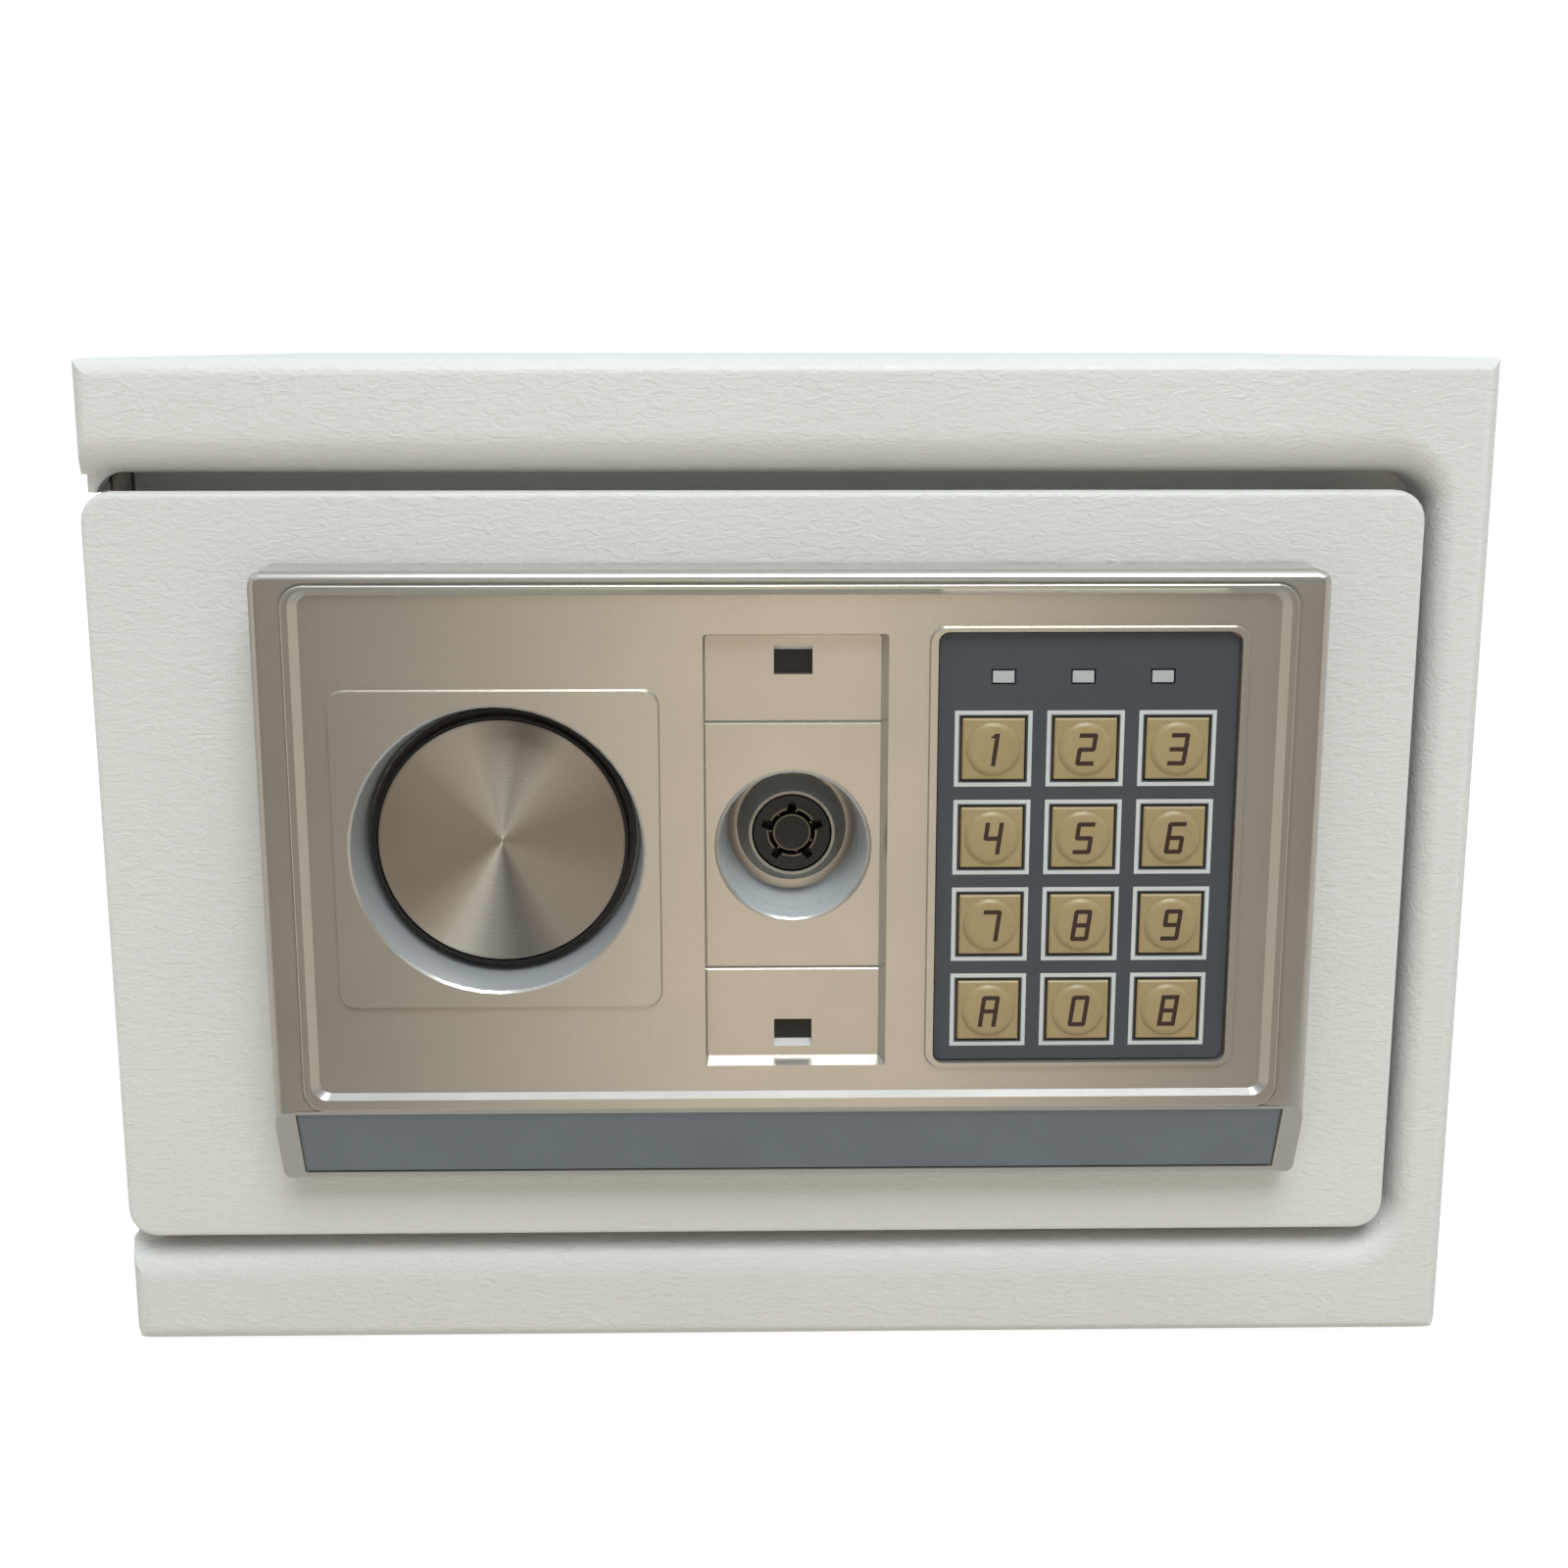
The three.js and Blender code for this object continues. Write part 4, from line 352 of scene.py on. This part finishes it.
# A solid of revolution about a line along Y through x, z, from a closed profile of radius and depth
def turned(name, profile, x, z, segments=128):
    bm = bmesh.new()
    rings = []
    for radius, depth in profile:
        count = segments if radius > 0 else 1
        turns = [2 * math.pi * i / segments for i in range(count)]
        ring = [place(x + radius * math.cos(turn), depth, z + radius * math.sin(turn)) for turn in turns]
        rings.append([bm.verts.new(point) for point in ring])
    for a, b in zip(rings, rings[1:] + rings[:1]):
        for i in range(segments):
            j = (i + 1) % segments
            corners = [a[i % len(a)], a[j % len(a)], b[j % len(b)], b[i % len(b)]]
            unique = list(dict.fromkeys(corners))
            if len(unique) > 2:
                bm.faces.new(unique)
    return mesh_from(bm, name)


# A thin closed print from flat faces given as corner lists around x, z, with its back at a depth
def printed(name, faces, depth, thickness, x, z):
    bm = bmesh.new()
    found = {}
    for corners in faces:
        keys = [(round(u, 5), round(v, 5)) for u, v in corners]  # corners that meet share a vertex
        for key, (u, v) in zip(keys, corners):
            if key not in found:
                found[key] = bm.verts.new(place(x + u, depth - thickness, z + v))
        bm.faces.new([found[key] for key in keys])
    made = bmesh.ops.extrude_face_region(bm, geom=list(bm.faces))
    moved = [part for part in made["geom"] if isinstance(part, bmesh.types.BMVert)]
    bmesh.ops.translate(bm, vec=(0, thickness * MM, 0), verts=moved)
    return mesh_from(bm, name)


# A closed block between two rectangles given by their corners in the same order
def block(name, near, far):
    bm = bmesh.new()
    first = [bm.verts.new(place(*corner)) for corner in near]
    last = [bm.verts.new(place(*corner)) for corner in far]
    bm.faces.new(first)
    bm.faces.new(last)
    for i in range(4):
        j = (i + 1) % 4
        bm.faces.new([first[i], first[j], last[j], last[i]])
    return mesh_from(bm, name)


# ---------------------------------------------------------------- key characters
KEY_NAMES = ["1", "2", "3", "4", "5", "6", "7", "8", "9", "a", "0", "b"]
# The strokes of a seven-segment display that make each key's character
STROKES = {
    "1": "bc", "2": "abged", "3": "abgcd", "4": "fgbc", "5": "afgcd", "6": "afgecd",
    "7": "abc", "8": "abcdefg", "9": "abcdfg", "a": "abcefg", "0": "abcdef", "b": "abcdefg",
}
# The cells of a grid of 3 columns and 5 rows, from the bottom left, that each stroke fills
CELLS = {
    "a": [(0, 4), (1, 4), (2, 4)], "g": [(0, 2), (1, 2), (2, 2)], "d": [(0, 0), (1, 0), (2, 0)],
    "f": [(0, 4), (0, 3), (0, 2)], "e": [(0, 2), (0, 1), (0, 0)],
    "b": [(2, 4), (2, 3), (2, 2)], "c": [(2, 2), (2, 1), (2, 0)],
}
GLYPH_WIDTH, GLYPH_HEIGHT, STROKE = 2.95, 5.3, 0.72
SLANT = 0.13  # sideways for each millimetre up
CORNER_CUT = STROKE * 0.45
FLAG, FLAG_GAP = 0.75, 0.02  # the flag at the head of the 1, and how far under the stem's top it starts
STEM_SHIFT = 0.15  # how far the stem of the 1 stands to the right of its middle
COLUMNS = [0, STROKE, GLYPH_WIDTH - STROKE, GLYPH_WIDTH]
GLYPH_MIDDLE = GLYPH_HEIGHT / 2
ROWS = [
    0, STROKE, GLYPH_MIDDLE - STROKE / 2, GLYPH_MIDDLE + STROKE / 2, GLYPH_HEIGHT - STROKE, GLYPH_HEIGHT,
]
# The ways from a rectangle's middle to its corners, in order
AROUND = ((-1, -1), (1, -1), (1, 1), (-1, 1))


# The corners of one cell, where a bend's outer corner is cut off unless the character is sharp
def cell_corners(cell, cells, cut_bends):
    column, row = cell

    def filled(across, up):
        return (column + across, row + up) in cells

    corners = []
    for across, up in AROUND:
        u, v = COLUMNS[column + (across > 0)], ROWS[row + (up > 0)]
        outer = not filled(across, 0) and not filled(0, up) and column != 1
        bend = filled(-across, 0) and filled(0, -up)
        if cut_bends and outer and bend:
            first, second = (u, v - up * CORNER_CUT), (u - across * CORNER_CUT, v)
            corners += [first, second] if across * up > 0 else [second, first]
        else:
            corners.append((u, v))
    return corners


def glyph_faces(name):
    cells = sorted({cell for stroke in STROKES[name] for cell in CELLS[stroke]})
    faces = [cell_corners(cell, cells, name != "b") for cell in cells]
    middle = GLYPH_WIDTH / 2
    if name == "1":
        right, top = COLUMNS[2], GLYPH_HEIGHT
        faces.append([(right - FLAG, top - FLAG), (right, ROWS[4]), (right, top - FLAG_GAP)])
        middle = GLYPH_WIDTH - STROKE / 2 - STEM_SHIFT
    return [
        [(u - middle + SLANT * (v - GLYPH_MIDDLE), v - GLYPH_MIDDLE) for u, v in face] for face in faces
    ]


# ---------------------------------------------------------------- keys
KEYS_MIDDLE = (47.2, 86.5)
KEY_PITCH = (14.8, 14.65)
OVERLAY_FRONT = -10.9
FRAME_SIDE, FRAME_LINE = 12.45, 0.66
INK = 0.03  # thickness of the prints
# Rounded button on the face of each key, as radius and depth
DOME = [
    (0, -11.86), (2, -11.855), (3.4, -11.84), (3.65, -11.81), (3.85, -11.74), (4.07, -11.6), (4.27, -11.44),
    (4.41, -11.3), (4.44, -11.2), (0, -11.2),
]
CHARACTER_BACK = -11.84
CHARACTER_SHIFT = 0.1  # how far all characters stand to the right


def frame_faces():
    half = FRAME_SIDE / 2
    outside, inside = [[(u * reach, v * reach) for u, v in AROUND] for reach in (half, half - FRAME_LINE)]
    return [[outside[k], outside[(k + 1) % 4], inside[(k + 1) % 4], inside[k]] for k in range(4)]


def add_keys(materials):
    for i, name in enumerate(KEY_NAMES):
        x = KEYS_MIDDLE[0] + (i % 3 - 1) * KEY_PITCH[0]
        z = KEYS_MIDDLE[1] + (1.5 - i // 3) * KEY_PITCH[1]
        mesh = turned("dome_" + name, DOME, x, z, 64)
        dome = new_object("dome_" + name, mesh, materials["key_gold"], "key_" + name)
        shade_smooth(dome, 60)
        mesh = printed("character_" + name, glyph_faces(name), CHARACTER_BACK, INK, x + CHARACTER_SHIFT, z)
        new_object("character_" + name, mesh, materials["key_ink"], "key_" + name)
        mesh = printed("frame_" + name, frame_faces(), OVERLAY_FRONT, INK, x, z)
        new_object("frame_" + name, mesh, materials["frame_print"], "door")


# ---------------------------------------------------------------- knob and lock
DISC_FRONT = -5.2
# Slightly dished face with a rounded rim, as radius and depth behind DISC_FRONT
DISC = [
    (0, 0.3), (5, 0.225), (10, 0.15), (15, 0.078), (19.6, 0.012), (19.9, 0.01), (20.12, 0.05), (20.26, 0.13),
    (20.3, 0.24), (20.3, 0.6), (0, 0.6),
]


def add_disc():
    profile = [(radius, DISC_FRONT + depth) for radius, depth in DISC]
    material = brushed_disc_painted_shine(place(KNOB[0], DISC_FRONT, KNOB[1]))
    disc = new_object("disc_face", turned("disc_face", profile, *KNOB, 160), material, "knob")
    shade_smooth(disc, 30)
    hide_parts("knob_disc")


# Sleeve and spring pin, as radius and depth
POST_SLEEVE = [(2.86, 0), (3.12, 0), (3.2, 0.2), (3.2, 5.8), (2.86, 5.8)]
LOCK_PIN = [(0, 0.9), (0.2, 0.92), (0.3, 1.1), (0.3, 4.0), (0, 4.0)]
PIN_COUNT, PIN_CIRCLE = 7, 3.55  # radius of the circle that the pins stand on
ARC_COUNT, ARC_HALF, ARC_STEP = 5, 24, 4  # degrees to each side of an arc's middle, and for each face
ARC_INNER, ARC_OUTER = 3.9, 4.22
ARC_BACK, ARC_THICKNESS = 1.3, 1.2


# One arc of the ring about its middle, which is given in radians
def keyway_arc(middle):
    turns = [middle + math.radians(step) for step in range(-ARC_HALF, ARC_HALF + 1, ARC_STEP)]
    faces = []
    for a, b in zip(turns, turns[1:]):
        corners = ((ARC_INNER, a), (ARC_OUTER, a), (ARC_OUTER, b), (ARC_INNER, b))
        faces.append([(radius * math.cos(turn), radius * math.sin(turn)) for radius, turn in corners])
    return faces


# Bronze sleeve round the keyway's post, a broken bronze ring at its edge and the spring pins between
def add_lock_detail(materials):
    x, z = LOCK
    meshes = [turned("post_sleeve", POST_SLEEVE, x, z, 64)]
    for i in range(ARC_COUNT):
        faces = keyway_arc(math.pi / 2 + 2 * math.pi * (i + 0.5) / ARC_COUNT)
        meshes.append(printed("keyway_arc_%d" % (i + 1), faces, ARC_BACK, ARC_THICKNESS, x, z))
    for i in range(PIN_COUNT):
        turn = 2 * math.pi * (i + 0.5) / PIN_COUNT
        at = (x + PIN_CIRCLE * math.cos(turn), z + PIN_CIRCLE * math.sin(turn))
        meshes.append(turned("lock_pin_%d" % (i + 1), LOCK_PIN, *at, 20))
    for mesh in meshes:
        shade_smooth(new_object(mesh.name, mesh, materials["keyway_bronze"], "lock"))


# The tube of the lock's well, whose front edge closes the joint to the column's plate
WELL_TUBE = [
    (11.7, -4.72), (11.85, -4.6), (13.2, -4.48), (13.2, 6), (8.3, 6), (8.3, 4.7), (8.4, 4.6), (10.7, 4.6),
    (10.92, 4.5), (11.02, 4.3),
]


def add_well(materials):
    mesh = turned("lock_well_tube", WELL_TUBE, *LOCK)
    well = new_object("lock_well_tube", mesh, materials["lock_well_painted_light"], "door")
    well.data.materials.append(materials["champagne_panel"])
    # What faces the front has the panel's own finish; the rest of the tube has a lighter, bluer copy of it,
    # painted light from above
    for face in well.data.polygons:
        face.material_index = 1 if face.normal.y < -0.7 else 0
    shade_smooth(well, 30)
    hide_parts("lock_well")


# ---------------------------------------------------------------- panel
PANEL_HALF, PANEL_TOP = 85.6, 137.3
CORNER_CAD, CORNER = 1.2, 2.4  # radius of the upper corners in the CAD, and here
# The depth of the ridge's front, how near to it a vertex lies on it, and how far its edge is rounded
RIDGE_FRONT, RIDGE_WITHIN, RIDGE_ROUND = -12.5, 0.01, 0.4
RIDGE_MIDDLE = 85  # z
PANEL_EDGE = 0.22  # how wide the panel's other edges are rounded
# Walls of the two wells, which take bluer, lighter copies of the panel's paint as painted light from above:
# material slot, middle, inner and outer radius
PAINTED_LIGHT_WELL_WALLS = ((1, KNOB, 21.8, 24.4), (2, LOCK, 10.6, 13.3))


# Gives the panel's two upper corners a larger radius, and keeps how deep each vertex lies inside them.
# The cuts give the flat faces beside them vertices that can move.
def round_corners(bm):
    cuts = []
    for share in (1, 0.7, 0.45, 0.25):
        cuts += [((side * (PANEL_HALF - CORNER * share), 0, 0), (1, 0, 0)) for side in (-1, 1)]
        cuts.append(((0, 0, PANEL_TOP - CORNER * share), (0, 0, 1)))
    for at, normal in cuts:
        everything = list(bm.verts) + list(bm.edges) + list(bm.faces)
        bmesh.ops.bisect_plane(bm, geom=everything, plane_co=place(*at), plane_no=normal)
    straight = CORNER - CORNER_CAD
    for vert in bm.verts:
        across = abs(vert.co.x) / MM - (PANEL_HALF - CORNER)
        up = vert.co.z / MM - (PANEL_TOP - CORNER)
        if min(across, up) <= 0 or max(across, up) <= straight:
            continue
        inside = CORNER_CAD - math.hypot(max(across - straight, 0), max(up - straight, 0))
        share = (CORNER - inside) / math.hypot(across, up)
        vert.co.x = math.copysign((PANEL_HALF - CORNER + across * share) * MM, vert.co.x)
        vert.co.z = (PANEL_TOP - CORNER + up * share) * MM


# Rounds the outer edge of the panel's ridge, which stands on the wall of the groove round it
def round_ridge(bm):
    bmesh.ops.dissolve_limit(bm, angle_limit=math.radians(FLAT_WITHIN), verts=bm.verts, edges=bm.edges)
    front = FRONT + RIDGE_FRONT * MM
    middle = Vector((0, 0, RIDGE_MIDDLE * MM))
    edges = []
    for edge in bm.edges:
        on_front = all(abs(vert.co.y - front) <= RIDGE_WITHIN * MM for vert in edge.verts)
        if len(edge.link_faces) != 2 or not on_front:
            continue
        outward = (edge.verts[0].co + edge.verts[1].co) / 2 - middle
        outward.y = 0
        if any(abs(face.normal.y) < 0.2 and face.normal.dot(outward) > 0 for face in edge.link_faces):
            edges.append(edge)
    bmesh.ops.bevel(
        bm, geom=edges, offset=RIDGE_ROUND * MM, offset_type="OFFSET", segments=4, profile=0.5,
        affect="EDGES", clamp_overlap=True,
    )


# A face that looks at the middle of a well from within its wall takes the wall's slot, whose bluer, lighter
# paint is painted light from above
def painted_light_slot(face):
    centre = face.calc_center_median()
    for slot, (x, z), inner, outer in PAINTED_LIGHT_WELL_WALLS:
        away = Vector((centre.x - x * MM, 0, centre.z - z * MM))
        in_wall = inner * MM < away.length < outer * MM and abs(face.normal.y) < 0.6
        if in_wall and face.normal.dot(away) < 0:
            return slot
    return 0


# The moulded panel, whose two round wells have walls in bluer, lighter copies of its paint: painted light
# from above
def add_panel(materials):
    bm = bmesh.new()
    bm.from_mesh(frame["nodes"]["panel_bezel"].data)
    bmesh.ops.remove_doubles(bm, verts=bm.verts, dist=SAME_PLACE * MM)
    round_corners(bm)
    round_ridge(bm)
    for face in bm.faces:
        face.material_index = painted_light_slot(face)
    mesh = mesh_from(bm, "panel")
    panel = new_object("panel", mesh, materials["champagne_panel"], "door")
    panel.data.materials.append(materials["knob_well_painted_light"])
    panel.data.materials.append(materials["lock_well_painted_light"])
    round_edges(panel, PANEL_EDGE)
    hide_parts("panel_bezel")


CLIP_LEFT, CLIP_RIGHT = -2.82, 3.42
# Depths of the column's floor, and of the front and back of the black block that paints the shade in each
# pocket's hole
CLIP_FLOOR, PAINTED_SHADE_FRONT, PAINTED_SHADE_BACK = -9.2, -7.7, -6
CLIP_REACH = 4.7  # from a pocket's inner end to its outer end on the column's floor
CLIP_SLOPE = 1.8 / 3.4  # how far the outer end moves inwards for each millimetre of depth
# Thickness of the pale sheet that paints the light on each pocket's slope
LIP = 0.06
# Each pocket's inner end, and the way from there to its outer end
CLIP_POCKETS = (("upper", 120.4, 1), ("lower", 62.5, -1))


# A rectangle over a pocket's width between two lines given by depth and z
def across_pocket(first, second):
    (depth_a, a), (depth_b, b) = first, second
    return [
        (CLIP_LEFT, depth_a, a), (CLIP_RIGHT, depth_a, a), (CLIP_RIGHT, depth_b, b), (CLIP_LEFT, depth_b, b),
    ]


# What closes the two clip pockets: a black block, painted shade where the pocket's hole is dark, and a pale
# sheet, a painted highlight on the slope at the pocket's outer end
def add_pocket_painted_light(materials):
    for name, inner, towards in CLIP_POCKETS:
        outer = inner + towards * CLIP_REACH
        end, back_end = [
            outer - towards * CLIP_SLOPE * (depth - CLIP_FLOOR) for depth in (PAINTED_SHADE_FRONT, PAINTED_SHADE_BACK)
        ]
        near = across_pocket((PAINTED_SHADE_FRONT, inner), (PAINTED_SHADE_FRONT, end))
        far = across_pocket((PAINTED_SHADE_BACK, inner), (PAINTED_SHADE_BACK, back_end))
        mesh = block("pocket_painted_shade_" + name, near, far)
        new_object("pocket_painted_shade_" + name, mesh, materials["black_plastic"], "door")
        slope = across_pocket((CLIP_FLOOR, outer), (PAINTED_SHADE_FRONT, end))
        inside = [(x, depth, z - towards * LIP) for x, depth, z in slope]
        mesh = block("pocket_painted_highlight_" + name, slope, inside)
        new_object("pocket_painted_highlight_" + name, mesh, materials["pale_painted_highlight"], "door")


# ---------------------------------------------------------------- stage and light
FLOOR_HALF, FLOOR_DROP = 6000, 0.2  # half its side, and how far it lies under the safe
FLOOR_GLOW, FLOOR_GLOW_SHARE = 1.14, 0.82  # the white that the camera sees on it, and its share


# The floor is nearly white to the camera, keeps the safe's shadow and doesn't show in reflections
def add_floor():
    bm = bmesh.new()
    bmesh.ops.create_grid(bm, x_segments=1, y_segments=1, size=FLOOR_HALF * MM)
    mesh = bpy.data.meshes.new("floor")
    bm.to_mesh(mesh)
    bm.free()
    floor = bpy.data.objects.new("floor", mesh)
    floor.location.z = -FLOOR_DROP * MM
    scene.collection.objects.link(floor)
    mat = bpy.data.materials.new("floor")
    nodes = Nodes(mat)
    matt = nodes["Principled BSDF"]
    matt.inputs["Base Color"].default_value = (0.78, 0.70, 0.60, 1)
    matt.inputs["Roughness"].default_value = 0.9
    white = nodes.add("Emission", Strength=FLOOR_GLOW)
    path = nodes.add("LightPath")
    share = nodes.compute("MULTIPLY", path.outputs["Is Camera Ray"], FLOOR_GLOW_SHARE)
    seen = nodes.mixed_shaders(share, matt.outputs[0], white.outputs[0])
    unseen = nodes.add("BsdfTransparent").outputs[0]
    surface = nodes.mixed_shaders(path.outputs["Is Glossy Ray"], seen, unseen)
    nodes.feed(surface, nodes["Material Output"].inputs["Surface"])
    mesh.materials.append(mat)


# The room in front is lit in its middle, and dark beside that
ROOM_MIDDLE, ROOM_HALF = 0.025, 0.27  # along X of a direction of length 1
ROOM_LIT, ROOM_DARK = (1.15, 0.98, 0.765), (0.06, 0.045, 0.035)
# What takes over from the room: by which part of the direction, over which range, from and to which
# share, and its colour
SKY = (
    ("aside", 0.5, 0.75, 0, 1, (0.62, 0.56, 0.48)),
    ("Z", -0.6, -0.4, 1, 0, (0.50, 0.51, 0.50)),
    ("Z", 0.0, 0.3, 0, 1, (0.30, 0.295, 0.285)),
    ("Z", 0.45, 0.8, 0, 1, (0.70, 0.80, 0.88)),
    ("Y", -0.3, 0.45, 0, 1, (0.62, 0.70, 0.76)),
)


# A bright sky above and behind, and a dim warm room in front. The camera itself sees white.
def add_world():
    world = bpy.data.worlds.new("world")
    scene.world = world
    nodes = Nodes(world)
    axes = nodes.add("SeparateXYZ")
    nodes.feed(nodes.add("TexCoord").outputs["Generated"], axes.inputs[0])
    parts = {
        "aside": nodes.compute("ABSOLUTE", nodes.compute("ADD", axes.outputs["X"], -ROOM_MIDDLE)),
        "Y": axes.outputs["Y"],
        "Z": axes.outputs["Z"],
    }
    share = nodes.ranged(parts["aside"], 1, 0, 0.0, ROOM_HALF, "SMOOTHSTEP")
    color = nodes.mixed(share, ROOM_DARK, ROOM_LIT)
    for part, start, end, low, high, taking_over in SKY:
        share = nodes.ranged(parts[part], low, high, start, end, "SMOOTHSTEP")
        color = nodes.mixed(share, color, taking_over)
    light = nodes["Background"]
    nodes.feed(color, light.inputs["Color"])
    white = nodes.add("Background", Color=(1, 1, 1, 1))
    is_camera = nodes.add("LightPath").outputs["Is Camera Ray"]
    surface = nodes.mixed_shaders(is_camera, light.outputs[0], white.outputs[0])
    nodes.feed(surface, nodes["World Output"].inputs["Surface"])


# Square lamps that look at the safe: name, place and side in metres, power and colour
LAMPS = (
    ("top", (0.12, -0.88, 1.35), 0.8, 16, (0.955, 0.985, 1.0)),
    ("behind", (0.1, 0.9, 1.3), 1.4, 3, (0.88, 0.95, 1.0)),
)
LAMP_AIM = Vector((0, 0, 0.08))  # metres


def add_lamps():
    for name, at, size, power, color in LAMPS:
        data = bpy.data.lights.new(name, "AREA")
        data.energy = power
        data.color = color
        data.size = size
        lamp = bpy.data.objects.new(name, data)
        lamp.location = at
        lamp.rotation_euler = (LAMP_AIM - Vector(at)).to_track_quat("-Z", "Y").to_euler()
        scene.collection.objects.link(lamp)


# ---------------------------------------------------------------- the safe
# Nodes whose finish differs from the rest of their material slot. The hinge pins and knuckles are dark as
# painted shade in the gap round the door.
SPECIAL = {
    "lock_cylinder": "lock_steel", "hinge_pin_upper": "painted_shade_steel", "hinge_pin_lower": "painted_shade_steel",
    "hinge_knuckle_upper": "painted_shade_steel", "hinge_knuckle_lower": "painted_shade_steel",
}
# How wide the edges of nodes are rounded
EDGES = {"body_shell": 0.2, "door_plate": 0.15, "bezel_strip": 0.12}
EDGES.update({"key_" + name: 0.08 for name in KEY_NAMES})


def dress_nodes(materials):
    slots = {entry["node"]: entry["material_slot"] for entry in frame["record"]["subparts"]}
    for name, obj in frame["nodes"].items():
        obj.data.materials.clear()
        obj.data.materials.append(materials[SPECIAL.get(name, slots[name])])
        shade_smooth(obj)


make_camera()
materials = make_materials()
dress_nodes(materials)
add_panel(materials)
for node, width in EDGES.items():
    round_edges(frame["nodes"][node], width)
add_keys(materials)
add_disc()
add_lock_detail(materials)
add_well(materials)
add_pocket_painted_light(materials)
add_floor()
add_world()
add_lamps()
scene.view_settings.view_transform = "Standard"
